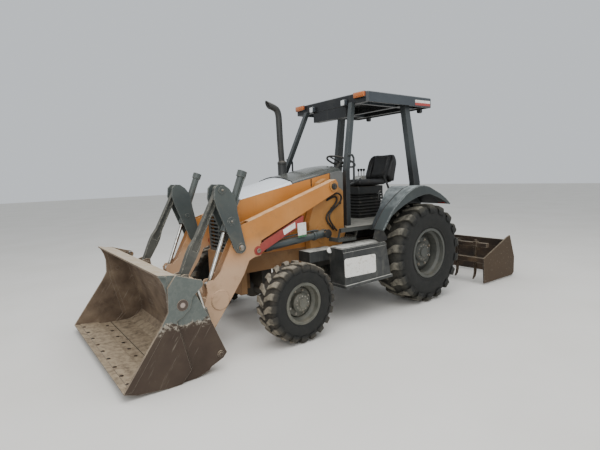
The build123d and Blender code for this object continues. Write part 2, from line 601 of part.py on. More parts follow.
CLAM_SIDE = [
    (3964, 71), (3627, 544), (3566, 649), (3560, 850), (3484, 948), (3407, 921), (3300, 884), (3256, 872),
    (3244, 838),
    (3262, 810), (3350, 740), (3380, 640), (3440, 590), (3500, 560), (3399, 104), (3488, 3), (3601, 3),
]
clam = both(profile(CLAM_SIDE, side_y + RUN, BUCKET_HALF))
clam += profile([(3964, 66), (3964, 76), (3905, 66), (3860, 55), (3601, 24), (3570, 24), (3570, 3),
                 (3601, 3), (3860, 32)],
                -BUCKET_HALF, BUCKET_HALF)
clam += profile([(3905, 58), (3905, 74), (3700, 50), (3700, 34)], -BUCKET_HALF, BUCKET_HALF)
clam += both(profile([(3964, 71), (3627, 544), (3590, 520), (3900, 70)], BUCKET_HALF - 8, BUCKET_HALF + 3))
clam += both(across(CLAM_PIN, BUCKET_HALF - 8, BUCKET_HALF + 3, 48))
clam -= both(across(CLAM_PIN, side_y - 30, BUCKET_HALF + 10, 22 + PIN_RUN))
save("bucket_clam", clam)

# Clam cylinders behind the bucket's back.
clam_barrel = bar(point3(along(CLAM_CYL_BASE, CLAM_CYL_TOP, 25), CLAM_CYL_Y),
                  point3(along(CLAM_CYL_BASE, CLAM_CYL_TOP, 440), CLAM_CYL_Y), 30)
clam_barrel += across(CLAM_CYL_BASE, CLAM_CYL_Y - 28, CLAM_CYL_Y + 28, 32)
clam_barrel -= across(CLAM_CYL_BASE, CLAM_CYL_Y - 60, CLAM_CYL_Y + 60, 18 + PIN_RUN)
clam_barrel -= bar(point3(along(CLAM_CYL_BASE, CLAM_CYL_TOP, 55), CLAM_CYL_Y),
                   point3(along(CLAM_CYL_BASE, CLAM_CYL_TOP, 450), CLAM_CYL_Y), 16 + PIN_RUN)
clam_rod = bar(point3(along(CLAM_CYL_BASE, CLAM_CYL_TOP, 310), CLAM_CYL_Y),
               point3(CLAM_CYL_TOP, CLAM_CYL_Y), 16)
clam_rod += across(CLAM_CYL_TOP, CLAM_CYL_Y - 22, CLAM_CYL_Y + 22, 30)
clam_rod += across(CLAM_CYL_TOP, CLAM_CYL_Y - 26, side_y, 18)
save("clam_barrels", both(clam_barrel))
save("clam_rods", both(clam_rod))

# Operator's platform with a serrated step below its wing, side boxes and fenders.
floor = block(-300, HOOD[1][0], -RAIL_Y, RAIL_Y, FLOOR_Z - 35, FLOOR_Z)
floor += both(block(-300, 1000, RAIL_Y, FENDER_Y, FLOOR_Z - 35, FLOOR_Z))
wing = [(1040, TOWER_Y + RUN), (1385, TOWER_Y + RUN), (1385, 660), (1520, 660), (1520, WING_Y),
        (1040, WING_Y)]
step = plan(wing, FLOOR_Z - 6, FLOOR_Z)
step += plan([(1040, WING_Y - 8), (1520, WING_Y - 8), (1520, WING_Y), (1040, WING_Y)], FLOOR_Z - 50, FLOOR_Z)
step += plan([(1512, 660), (1520, 660), (1520, WING_Y), (1512, WING_Y)], FLOOR_Z - 50, FLOOR_Z)
step += plan([(1040, TOWER_Y + RUN), (1048, TOWER_Y + RUN), (1048, WING_Y), (1040, WING_Y)], FLOOR_Z - 50,
             FLOOR_Z)
teeth = [(1106, TREAD_Z), (1530, TREAD_Z)]
for k in range(TREAD_TEETH, 0, -1):
    x = 1106 + k * 424 / TREAD_TEETH
    teeth += [(x, TREAD_Z + 30), (x - 212 / TREAD_TEETH, TREAD_Z + 48)]
teeth.append((1106, TREAD_Z + 30))
for y in (700, 790, 880):
    step += profile(teeth, y, y + 8)
for x in (1115, 1500):
    step += block(x, x + 8, 700, WING_Y - 8, TREAD_Z, TREAD_Z + 30)
    step += block(x, x + 8, 870, WING_Y - 4, TREAD_Z, FLOOR_Z - 2)
floor += both(step)
save("platform", floor - both(tower))

BOX = [(705, 460), (1477, 445), (1500, 890), (797, 899)]
box = profile(BOX, BOX_IN, BOX_OUT)
box -= profile([(600, 860), (1600, 848), (1600, 940), (600, 940)], BOX_OUT - 30, BOX_OUT + 1)
box += profile([(760, 858), (1498, 849), (1500, 890), (797, 899)], BOX_OUT - 60, BOX_OUT - 12)
box += profile([(700, 452), (1482, 437), (1484, 470), (704, 485)], BOX_IN + 20, BOX_OUT + 24)
box += block(900, 960, RAIL_Y + RUN, BOX_IN + 5, 720, 790)
box += block(1300, 1360, TOWER_Y + RUN, BOX_IN + 5, 720, 790)
box += block(1380, 1790, TOWER_Y + 5, BOX_IN + 5, 745, 868)
save("side_boxes", both(box))


# A point by its angle round the rear axle and its gap outside the tyre.
def round_tyre(angle, gap):
    r = REAR_TYRE_R + gap
    a = math.radians(angle)
    return (r * math.cos(a), REAR_TYRE_R + r * math.sin(a))


# angle, gap of the crown, gap of the skirt's lower edge
FENDER = [
    (21.5, 456, 399), (28.5, 442, 378), (35.5, 426, 345), (42, 397, 310), (48.7, 365, 266), (54, 359, 246),
    (59.2, 356, 232), (67, 320, 200), (76.1, 270, 163), (91, 212, 128), (106.6, 154, 98), (117, 135, 97),
    (126.1, 122, 108),
]
crown = [round_tyre(a, g) for a, g, low in FENDER]
skin = crown + [round_tyre(a, g - 16) for a, g, low in reversed(FENDER)]
skirt = crown + [round_tyre(a, low) for a, g, low in reversed(FENDER)]
fender = profile(skin, FENDER_Y, FENDER_OUT)
band = profile(skirt, FENDER_OUT - 14, FENDER_OUT)
fender += band
raised = [round_tyre(a, g + 10) for a, g, low in FENDER[1:]]
raised += [round_tyre(a, g - 10) for a, g, low in reversed(FENDER[1:])]
fender += profile(raised, FENDER_OUT - 175, FENDER_OUT - 8)
fender += profile(crown + [(-420, 1180), (-300, FLOOR_Z - 35), (900, FLOOR_Z - 35)], FENDER_Y, FENDER_Y + 18)
fender += profile([(1034, 1066), (960, 1046), (766, 955), (767, 877), (1034, 932)], FENDER_OUT - 14,
                  FENDER_OUT - 4)
save("fenders", both(fender))

# Seat, steering and controls.
seat = profile([(611, 1600), (600, 1560), (40, 1560), (-150, 1585), (-30, 1700), (60, 1655), (400, 1640),
                (580, 1640)],
               -SEAT_HALF, SEAT_HALF)
seat += profile([(-150, 1585), (-240, 1985), (-208, SEAT_TOP), (-140, SEAT_TOP - 8), (-95, 1915),
                 (-25, 1695)],
                -SEAT_HALF + 10, SEAT_HALF - 10)
for y0, y1 in ((-SEAT_HALF, -SEAT_HALF + 70), (SEAT_HALF - 70, SEAT_HALF)):
    seat += profile([(-150, 1600), (-220, 1940), (-185, 1985), (-110, 1975), (-40, 1830), (50, 1715),
                     (60, 1650)], y0, y1)
    seat += profile([(60, 1650), (400, 1660), (570, 1655), (600, 1620), (60, 1600)], y0, y1)
seat &= extrude(Plane.YZ * Pos(0, SEAT_TOP - 500) * RectangleRounded(2 * SEAT_HALF, 1000, SEAT_CORNER),
                700, both=True)
for k in range(SEAT_FOLDS):
    z = FLOOR_Z + 30 + k * 44
    seat += block(80, 540, -190, 190, z, z + 30)
seat += block(95, 525, -175, 175, FLOOR_Z, 1420)
seat += block(60, 560, -200, 200, 1410, 1560)
seat = Pos(-SEAT_SHIFT, 0, 0) * seat
save("seat", seat)
wheel_plane = Plane(origin=(640, 0, 1908), x_dir=(0, 1, 0), z_dir=(-0.38, 0, 0.925))
grip = [(200 + 14 * math.cos(math.pi * k / 4), 14 * math.sin(math.pi * k / 4)) for k in range(8)]
ring = wheel_plane * revolve(Plane.XZ * make_face(Polyline([(r, z) for r, z in grip], close=True)),
                             axis=Axis.Z)
spokes = wheel_plane * Pos(0, 0, -14) * Box(392, 34, 8) + wheel_plane * Pos(0, -98, -14) * Box(34, 196, 8)
spokes += wheel_plane * Pos(0, 0, -10) * Cylinder(42, 26)
column = bar((985, 0, 1470), (652, 0, 1893), 26) + bar((985, 0, 1470), (800, 0, 1705), 42)
wheel = ring + spokes + column - block(COWL_X, COWL_X + 60, -100, 100, 1300, 1600)
save("steering_wheel", wheel)

# Roll-over frame: four splayed posts with a grab rail beside each front one.
# top x, top y, top z, knee x, knee y, knee z, foot z, depth at top, depth at knee, width
POSTS = [
    (851, 459, 2625, 1143, 643, 1781, FLOOR_Z, 60, 64, 60),
    (37, 621, 2625, 29, 781, 1600, 1470, 92, 122, 80),
]
posts = None
for tx, ty, tz, fx, fy, fz, foot, deep_top, deep_knee, wide in POSTS:
    head = Pos(tx, ty, tz) * Rectangle(deep_top, wide)
    knee = Pos(fx, fy, fz) * Rectangle(deep_knee, wide)
    base = Pos(fx, fy, foot) * Rectangle(deep_knee, wide)
    post = loft([knee, head], ruled=True) + loft([base, knee], ruled=True)
    posts = post if posts is None else posts + post
for a, b in zip([(1130, 1600), (1025, 1625), (1012, 1700), (1012, 1930), (1035, 1965), (1110, 1968)],
                [(1025, 1625), (1012, 1700), (1012, 1930), (1035, 1965), (1110, 1968)]):
    posts += bar((a[0], GRAB_Y, a[1]), (b[0], GRAB_Y, b[1]), 13)
frame_posts = both(posts - profile(crown + [(-300, 1200), (900, 1100)], FENDER_Y, FENDER_OUT))
save("rollover_posts", frame_posts)

roof = block(ROOF_REAR, ROOF_FRONT, -ROOF_HALF, ROOF_HALF, ROOF_BASE, ROOF_TOP)
roof = chamfer(roof.edges().filter_by(Axis.Z), 25)
roof = chamfer(roof.faces().sort_by(Axis.Z)[-1].edges(), 10)
roof -= block(ROOF_REAR + 30, ROOF_FRONT - 30, -ROOF_HALF + 30, ROOF_HALF - 30, ROOF_BASE - 1, ROOF_TOP - 22)
for y in (-470, 470):
    roof += block(ROOF_REAR + 30, ROOF_FRONT - 30, y - 28, y + 28, ROOF_BASE + 12, ROOF_TOP - 15)
for x in (ROOF_FRONT - 110, 0, ROOF_REAR + 60):
    roof += block(x, x + 70, -ROOF_HALF + 25, ROOF_HALF - 25, ROOF_BASE + 12, ROOF_TOP - 15)
roof += block(ROOF_FRONT - 105, ROOF_FRONT - 5, -330, 330, 2468, ROOF_BASE + 20)
roof += block(ROOF_REAR + 90, ROOF_FRONT - 200, -230, 230, ROOF_TOP - 10, ROOF_TOP)
save("canopy_roof", roof - frame_posts)

# Work lights front and rear, and corner markers.
LAMPS = [(ROOF_FRONT - 4, 1, 323, 2642, 42), (ROOF_REAR + 4, -1, 500, ROOF_BASE - 12, 30)]
lamps = None
for x, way, y, z, half in LAMPS:
    body = Pos(x + way * 24, y, z) * Box(48, 2 * half, 2 * half)
    body = chamfer(body.edges().filter_by(Axis.X), 14)
    body -= Pos(x + way * 48, y, z) * Box(16, 2 * half - 16, 2 * half - 16)
    lamps = body if lamps is None else lamps + body
lamps += block(ROOF_FRONT, ROOF_FRONT + 32, 512, 698, 2664, ROOF_TOP - 2)
save("canopy_lamps", both(lamps) - roof)

# Three-point hitch: lower links, a rockshaft with lift rods, a top link, and the box blade.
lower = beam(point3(LINK_PIN, HITCH_Y), point3(BLADE_PIN, HITCH_Y), 70, 30)
lower += across(LINK_PIN, HITCH_Y - 20, HITCH_Y + 20, 45) + across(BLADE_PIN, HITCH_Y - 20, HITCH_Y + 20, 45)
ROD_FOOT = along(LINK_PIN, BLADE_PIN, 400)
ROCK_TIP = (ROCKSHAFT[0] + ROD_FOOT[0] - LINK_PIN[0], ROCKSHAFT[1] + ROD_FOOT[1] - LINK_PIN[1])
lower += across(ROD_FOOT, HITCH_Y - 50, HITCH_Y, 18)
lower -= across(LINK_PIN, 200, 450, 20 + PIN_RUN)
lower -= across(BLADE_PIN, 200, 450, 20 + PIN_RUN)
save("hitch_lower_links", both(lower))
lift_rod_y = HITCH_Y - 35
hanger = bar(point3(ROD_FOOT, lift_rod_y), point3(ROCK_TIP, lift_rod_y), 16)
hanger += (across(ROD_FOOT, lift_rod_y - 14, lift_rod_y + 14, 34)
           + across(ROCK_TIP, lift_rod_y - 14, lift_rod_y + 14, 34))
hanger -= across(ROD_FOOT, 200, 450, 18 + PIN_RUN)
hanger -= across(ROCK_TIP, 200, 450, 18 + PIN_RUN)
save("hitch_lift_rods", both(hanger))
rock_y = lift_rod_y - 32
rock = (beam(point3(ROCKSHAFT, rock_y), point3(ROCK_TIP, rock_y), 60, 28)
        + across(ROCK_TIP, rock_y - 14, rock_y + 14, 34))
rock += across(ROCK_TIP, rock_y, lift_rod_y + 16, 18) + across(ROCKSHAFT, rock_y - 20, rock_y + 20, 55)
rock = both(rock) + bar(point3(ROCKSHAFT, -rock_y), point3(ROCKSHAFT, rock_y), 32)
save("hitch_rockshaft", rock)
top_link = (bar(point3(TOP_PIN, 0), point3(MAST_PIN, 0), 20) + across(TOP_PIN, -22, 22, 36)
            + across(MAST_PIN, -22, 22, 36))
save("hitch_top_link", top_link - across(TOP_PIN, -60, 60, 18 + PIN_RUN))

END = [(-1248, 403), (-1929, 659), (-2006, 677), (-2155, 313), (-2153, 59), (-2100, 20), (-1271, 20)]
blade = both(profile(END, BLADE_HALF - BLADE_PLATE, BLADE_HALF))
blade += block(-1330, -1260, -BLADE_HALF + 10, BLADE_HALF - 10, 330, 400)
blade += profile([(-2020, 600), (-1990, 600), (-2080, 300), (-2060, 30), (-2090, 30), (-2110, 300)],
                 -BLADE_HALF + 10,
                 BLADE_HALF - 10)
for y in (HITCH_Y - 45, HITCH_Y + 30):
    blade += both(profile([(-1330, 330), (-1180, 370), (-1130, 390), (-1130, 460), (-1200, 500),
                           (-1330, 700),
                           (-1380, 700), (-1330, 400)], y, y + 15))
for y in (-45, 30):
    blade += profile([(-1262, 380), (-1200, 850), (-1220, 900), (-1270, 900), (-1330, 700), (-1330, 380)],
                     y, y + 15)
blade += both(across(BLADE_PIN, HITCH_Y - 45, HITCH_Y + 45, 20))
blade += block(-1395, -1325, -BLADE_HALF + 10, BLADE_HALF - 10, 560, 620)
for y in (-850, -540, -230, 230, 540, 850):
    blade += profile([(-1330, 660), (-1375, 660), (-1372, 160), (-1348, 90), (-1290, 52), (-1318, 110),
                      (-1330, 170)], y - 12,
                     y + 12)
    blade += block(-1402, -1320, y - 26, y + 26, 545, 635)
blade += profile([(-2060, 30), (-2088, 30), (-2104, 190), (-2092, 190)], -BLADE_HALF + 10, BLADE_HALF - 10)
save("box_blade", blade)
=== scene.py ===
import math
import bpy
from mathutils import Matrix, Vector


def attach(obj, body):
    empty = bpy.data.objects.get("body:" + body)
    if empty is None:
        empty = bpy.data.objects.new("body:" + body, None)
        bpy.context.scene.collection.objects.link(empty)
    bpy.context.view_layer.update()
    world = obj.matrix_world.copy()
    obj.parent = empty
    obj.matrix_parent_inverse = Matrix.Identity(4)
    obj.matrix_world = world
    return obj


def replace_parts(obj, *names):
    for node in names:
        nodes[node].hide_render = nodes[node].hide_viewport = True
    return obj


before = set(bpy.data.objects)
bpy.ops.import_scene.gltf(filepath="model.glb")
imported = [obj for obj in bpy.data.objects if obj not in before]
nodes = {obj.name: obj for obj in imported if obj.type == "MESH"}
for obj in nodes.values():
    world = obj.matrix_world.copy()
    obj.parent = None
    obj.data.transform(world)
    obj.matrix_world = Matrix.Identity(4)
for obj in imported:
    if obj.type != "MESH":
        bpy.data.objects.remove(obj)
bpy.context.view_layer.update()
print("stage: frame loaded,", len(nodes), "nodes")

# Places are in millimetres from the rear axle, as in the part's drawing: x forward, y left, z up.
rearAxle = 904.5


def spot(x, y, z):
    return Vector(((x - rearAxle) / 1000, y / 1000, z / 1000))


# An outline of (x, z) standing at one y, and one of (x, y) lying at one z
def upright(outline, y):
    return [spot(x, y, z) for x, z in outline]


def flat(outline, z):
    return [spot(x, y, z) for x, y in outline]


# Camera and stage
photo = {
    "width": 600,
    "focalPixels": 429.283,
    "place": (3.826, 4.4887, 1.7402),
    "yaw": 233.3199,
    "pitchDown": 6.6082,
    "roll": 1.9246,
}


def setCamera():
    yaw = math.radians(photo["yaw"])
    pitch = math.radians(photo["pitchDown"])
    roll = math.radians(photo["roll"])
    ahead = Vector((math.cos(yaw) * math.cos(pitch), math.sin(yaw) * math.cos(pitch), -math.sin(pitch)))
    right = Vector((math.sin(yaw), -math.cos(yaw), 0))
    down = ahead.cross(right)
    across = right * math.cos(roll) + down * math.sin(roll)
    below = down * math.cos(roll) - right * math.sin(roll)
    bpy.ops.object.camera_add()
    camera = bpy.context.object
    camera.data.sensor_width = 36
    camera.data.lens = photo["focalPixels"] * 36 / photo["width"]
    facing = Matrix((across, -below, -ahead)).transposed().to_4x4()
    camera.matrix_world = Matrix.Translation(photo["place"]) @ facing
    bpy.context.scene.camera = camera


def linear(hexText):
    parts = [int(hexText[i:i + 2], 16) / 255 for i in (1, 3, 5)]
    return [p / 12.92 if p <= 0.04045 else ((p + 0.055) / 1.055) ** 2.4 for p in parts] + [1]


# Each link is a node, for its first output, or a node and an output.
def join(node, links):
    for name, link in links.items():
        source, output = link if isinstance(link, tuple) else (link, 0)
        node.id_data.links.new(source.outputs[output], node.inputs[name])


# A node with its settings, by attribute or socket, and its links, by socket.
def addNode(tree, kind, settings=None, links=None):
    node = tree.nodes.new("ShaderNode" + kind)
    for name, value in (settings or {}).items():
        if name == "stops":
            ramp = node.color_ramp.elements
            while len(ramp) < len(value):
                ramp.new(0.5)
            for stop, (place, colour) in zip(ramp, value):
                stop.position = place
                stop.color = linear(colour)
        elif isinstance(name, str) and hasattr(node, name):
            setattr(node, name, value)
        else:
            node.inputs[name].default_value = value
    join(node, links or {})
    return node


# A material, its shader, what adds a node to it, and the piece's own coordinates, which place its patterns.
# They are in metres, so a noise's Scale is its cells to the metre: 25 is one every 40 mm. The peel of paint
# and the grain of vinyl and rubber are really 2 mm or finer, and are drawn coarser so that they show.
def newFinish(name):
    finish = bpy.data.materials.new(name)
    finish.use_nodes = True
    tree = finish.node_tree
    shader = next(n for n in tree.nodes if n.type == "BSDF_PRINCIPLED")

    def add(kind, settings=None, links=None):
        return addNode(tree, kind, settings, links)

    return finish, shader, add, (add("TexCoord"), "Object")


# Coats of colour over a first layer, each where its mask is
def layCoats(add, layer, coats):
    for mask, shade in coats:
        layer = (add("Mix", {"data_type": "RGBA", 7: linear(shade)}, {0: mask, 6: layer}), 2)
    return layer


# Old enamel on plate: sun-faded in patches, dusty on top and low down, chipped to bare metal at the edges.
# On the loader arms the pale on top is dust and a painted highlight.
def agedEnamel(name, look):
    finish, shader, add, place = newFinish(name)
    facing = add("NewGeometry")
    normal = add("SeparateXYZ", {}, {0: (facing, "Normal")})
    height = add("SeparateXYZ", {}, {0: place})
    patches = add("TexNoise", {"Scale": 1000 / look["patch"], "Detail": 6.0, "Roughness": 0.6},
                  {"Vector": place})
    fade = add("MapRange", {"From Min": 0.36, "From Max": 0.64}, {"Value": patches})
    paint = add("Mix", {"data_type": "RGBA", 6: linear(look["paint"]), 7: linear(look["faded"])}, {0: fade})
    coats = []
    if "other" in look:  # a second colour past a line, as (axis, from, to, colour); on the fender's inboard part and below the canopy roof it is painted shade
        axis, start, end, shade = look["other"]
        along = add("Math", {"operation": "ABSOLUTE" if axis == 1 else "ADD", 1: 0}, {0: (height, axis)})
        coats.append((add("MapRange", {"From Min": start, "From Max": end}, {"Value": along}), shade))
    if "frontShade" in look:  # painted shade on the front faces
        ahead = add("MapRange", {"From Min": 0.6, "From Max": 0.8}, {"Value": normal})
        coats.append((ahead, look["frontShade"]))
    if "underShade" in look:  # painted shade and soot on the underside
        below = add("MapRange", {"From Min": -0.3, "From Max": -0.8}, {"Value": (normal, 2)})
        coats.append((below, look["underShade"]))
    stretch = add("Mapping", {"Scale": (26, 26, 2.2)}, {"Vector": place})
    runs = add("TexNoise", {"Scale": 1.0, "Detail": 3.0}, {"Vector": stretch})
    runMask = add("MapRange", {"From Min": 0.6, "From Max": 0.78, "To Max": look["runs"]}, {"Value": runs})
    smears = add("TexNoise", {"Scale": 5.0, "Detail": 9.0, "Roughness": 0.68, "Distortion": 0.6},
                 {"Vector": place})
    smearMask = add("MapRange", {"From Min": 0.52, "From Max": 0.72, "To Max": look["smear"]},
                    {"Value": smears})
    # Upward faces and low parts take the soil colour: dust, and on the loader arms also a painted highlight
    # on their tops
    level = add("MapRange", {"From Min": look.get("level", 0.25), "From Max": 1.0, "To Max": look["dustAndHighlight"]},
                {"Value": (normal, 2)})
    low = add("MapRange", {"From Min": 1.2, "From Max": 0.2, "To Max": look["mud"]}, {"Value": (height, 2)})
    topsAndLowParts = add("Math", {"operation": "MAXIMUM"}, {0: level, 1: low})
    grains = add("TexNoise", {"Scale": 11.0, "Detail": 10.0, "Roughness": 0.65}, {"Vector": place})
    grainMask = add("MapRange", {"From Min": 0.28, "From Max": 0.62}, {"Value": grains})
    dustAndHighlight = add("Math", {"operation": "MULTIPLY"}, {0: topsAndLowParts, 1: grainMask})
    edge = add("Bevel", {"samples": 4, "Radius": look["wear"] / 1000})
    turn = add("VectorMath", {"operation": "DOT_PRODUCT"}, {0: edge, 1: (facing, "Normal")})
    edgeMask = add("MapRange", {"From Min": 0.985, "From Max": 0.84}, {"Value": (turn, "Value")})
    flakes = add("TexNoise", {"Scale": 38.0, "Detail": 8.0, "Roughness": 0.7}, {"Vector": place})
    edgeFlakes = add("MapRange", {"From Min": 0.42, "From Max": 0.56, "To Max": look["edge"]},
                     {"Value": flakes})
    rubbed = add("Math", {"operation": "MULTIPLY"}, {0: edgeMask, 1: edgeFlakes})
    chips = add("MapRange", {"From Min": 0.74 - 0.1 * look["chips"], "From Max": 0.76 - 0.1 * look["chips"]},
                {"Value": flakes})
    bare = add("Math", {"operation": "MAXIMUM"}, {0: rubbed, 1: chips})
    coats += [(runMask, look["grime"]), (smearMask, look["grime"]), (dustAndHighlight, look["soil"]),
              (bare, look["bare"])]
    worn = add("Math", {"operation": "MAXIMUM"}, {0: bare, 1: dustAndHighlight})
    rough = add("MapRange", {"To Min": look["rough"], "To Max": 0.85}, {"Value": worn})
    soft = add("Bevel", {"samples": 4, "Radius": 0.0025})
    peel = add("TexNoise", {"Scale": 140.0, "Detail": 3.0}, {"Vector": place})
    bump = add("Bump", {"Strength": 0.12, "Distance": 0.002}, {"Height": peel, "Normal": soft})
    join(shader, {"Base Color": layCoats(add, (paint, 2), coats), "Roughness": rough, "Normal": bump})
    return finish


# Wear plate, mild steel: brown rust, fine slanting scratches and soil on its flats.
# Grey paint is left high on its outside.
def diggingSteel(name, look):
    finish, shader, add, place = newFinish(name)
    facing = add("NewGeometry")
    normal = add("SeparateXYZ", {}, {0: (facing, "Normal")})
    height = add("SeparateXYZ", {}, {0: place})
    patches = add("TexNoise", {"Scale": 1000 / look["patch"], "Detail": 9.0, "Roughness": 0.6},
                  {"Vector": place})
    rust = add("ValToRGB", {"stops": list(zip((0.3, 0.46, 0.6, 0.74), look["rust"]))}, {0: patches})
    outSide = add("Math", {"operation": "MULTIPLY"}, {0: (normal, 1), 1: (height, 1)})
    sideMask = add("MapRange", {"From Min": 0.5, "From Max": 0.9}, {"Value": outSide})
    backMask = add("MapRange", {"From Min": -0.2, "From Max": -0.5}, {"Value": normal})
    outward = add("Math", {"operation": "MAXIMUM"}, {0: sideMask, 1: backMask})
    outerShare = add("Math", {"operation": "MULTIPLY", 1: 0.85}, {0: sideMask})
    slant = add("Mapping", {"vector_type": "TEXTURE", "Rotation": (0, look["slant"], 0),
                            "Scale": [1 / g for g in look["grain"]]}, {"Vector": place})
    scores = add("TexNoise", {"Scale": 1.0, "Detail": 6.0, "Roughness": 0.6}, {"Vector": slant})
    scoreMask = add("MapRange", {"From Min": 0.6, "From Max": 0.72, "To Max": look["scored"]},
                    {"Value": scores})
    rise = add("MapRange", {"From Min": look["paintLow"], "From Max": look["paintHigh"], "To Min": -0.3,
                            "To Max": 0.34}, {"Value": (height, 2)})
    flakes = add("TexNoise", {"Scale": 9.0, "Detail": 9.0, "Roughness": 0.68}, {"Vector": place})
    left = add("Math", {"operation": "ADD"}, {0: rise, 1: flakes})
    fringe = add("MapRange", {"From Min": 0.36, "From Max": 0.48, "To Max": 0.85}, {"Value": left})
    crumbs = add("TexNoise", {"Scale": 34.0, "Detail": 7.0, "Roughness": 0.7}, {"Vector": place})
    crumbMask = add("MapRange", {"From Min": 0.46, "From Max": 0.54}, {"Value": crumbs})
    primer = add("Math", {"operation": "MULTIPLY"}, {0: fringe, 1: crumbMask})
    primerOut = add("Math", {"operation": "MULTIPLY"}, {0: primer, 1: outward})
    paintMask = add("MapRange", {"From Min": 0.5, "From Max": 0.56, "To Max": 0.94}, {"Value": left})
    paintOut = add("Math", {"operation": "MULTIPLY"}, {0: paintMask, 1: outward})
    pin = add("Mapping", {"Location": (-look["pin"][0], 0, -look["pin"][1]), "Scale": (1, 0, 1)},
              {"Vector": place})
    pinReach = add("VectorMath", {"operation": "LENGTH"}, {0: pin})
    boss = add("MapRange", {"From Min": 0.052, "From Max": 0.049}, {"Value": (pinReach, "Value")})
    bossOut = add("Math", {"operation": "MULTIPLY"}, {0: boss, 1: sideMask})
    core = add("MapRange", {"From Min": 0.021, "From Max": 0.018}, {"Value": (pinReach, "Value")})
    coreOut = add("Math", {"operation": "MULTIPLY"}, {0: core, 1: sideMask})
    level = add("MapRange", {"From Min": 0.35, "From Max": 0.95, "To Max": look["soiled"]},
                {"Value": (normal, 2)})
    high = add("MapRange", {"From Min": 0.85, "From Max": 0.95, "To Max": look["lip"]},
               {"Value": (height, 2)})
    lipFlat = add("Math", {"operation": "MULTIPLY"}, {0: high, 1: level})
    grains = add("TexNoise", {"Scale": 16.0, "Detail": 10.0, "Roughness": 0.7}, {"Vector": place})
    grainMask = add("MapRange", {"From Min": 0.3, "From Max": 0.6}, {"Value": grains})
    soil = add("Math", {"operation": "MULTIPLY"}, {0: level, 1: grainMask})
    edge = add("Bevel", {"samples": 4, "Radius": 0.006})
    turn = add("VectorMath", {"operation": "DOT_PRODUCT"}, {0: edge, 1: (facing, "Normal")})
    edgeMask = add("MapRange", {"From Min": 0.98, "From Max": 0.8, "To Max": 0.75},
                   {"Value": (turn, "Value")})
    coats = [(outerShare, look["outer"]), (scoreMask, look["bright"]), (primerOut, look["primer"]),
             (paintOut, look["paint"]), (bossOut, look["boss"]), (coreOut, look["core"]),
             (lipFlat, look["lipSoil"]), (soil, look["soil"]), (edgeMask, look["bright"])]
    rough = add("MapRange", {"To Min": 0.72, "To Max": 0.45}, {"Value": scoreMask})
    pits = add("TexNoise", {"Scale": 60.0, "Detail": 8.0}, {"Vector": place})
    relief = add("Math", {"operation": "SUBTRACT"}, {0: pits, 1: scoreMask})
    soft = add("Bevel", {"samples": 4, "Radius": 0.003})
    bump = add("Bump", {"Strength": 0.25, "Distance": 0.003}, {"Height": relief, "Normal": soft})
    join(shader, {"Base Color": layCoats(add, rust, coats), "Roughness": rough, "Normal": bump})
    shader.inputs["Metallic"].default_value = look["metal"]
    return finish


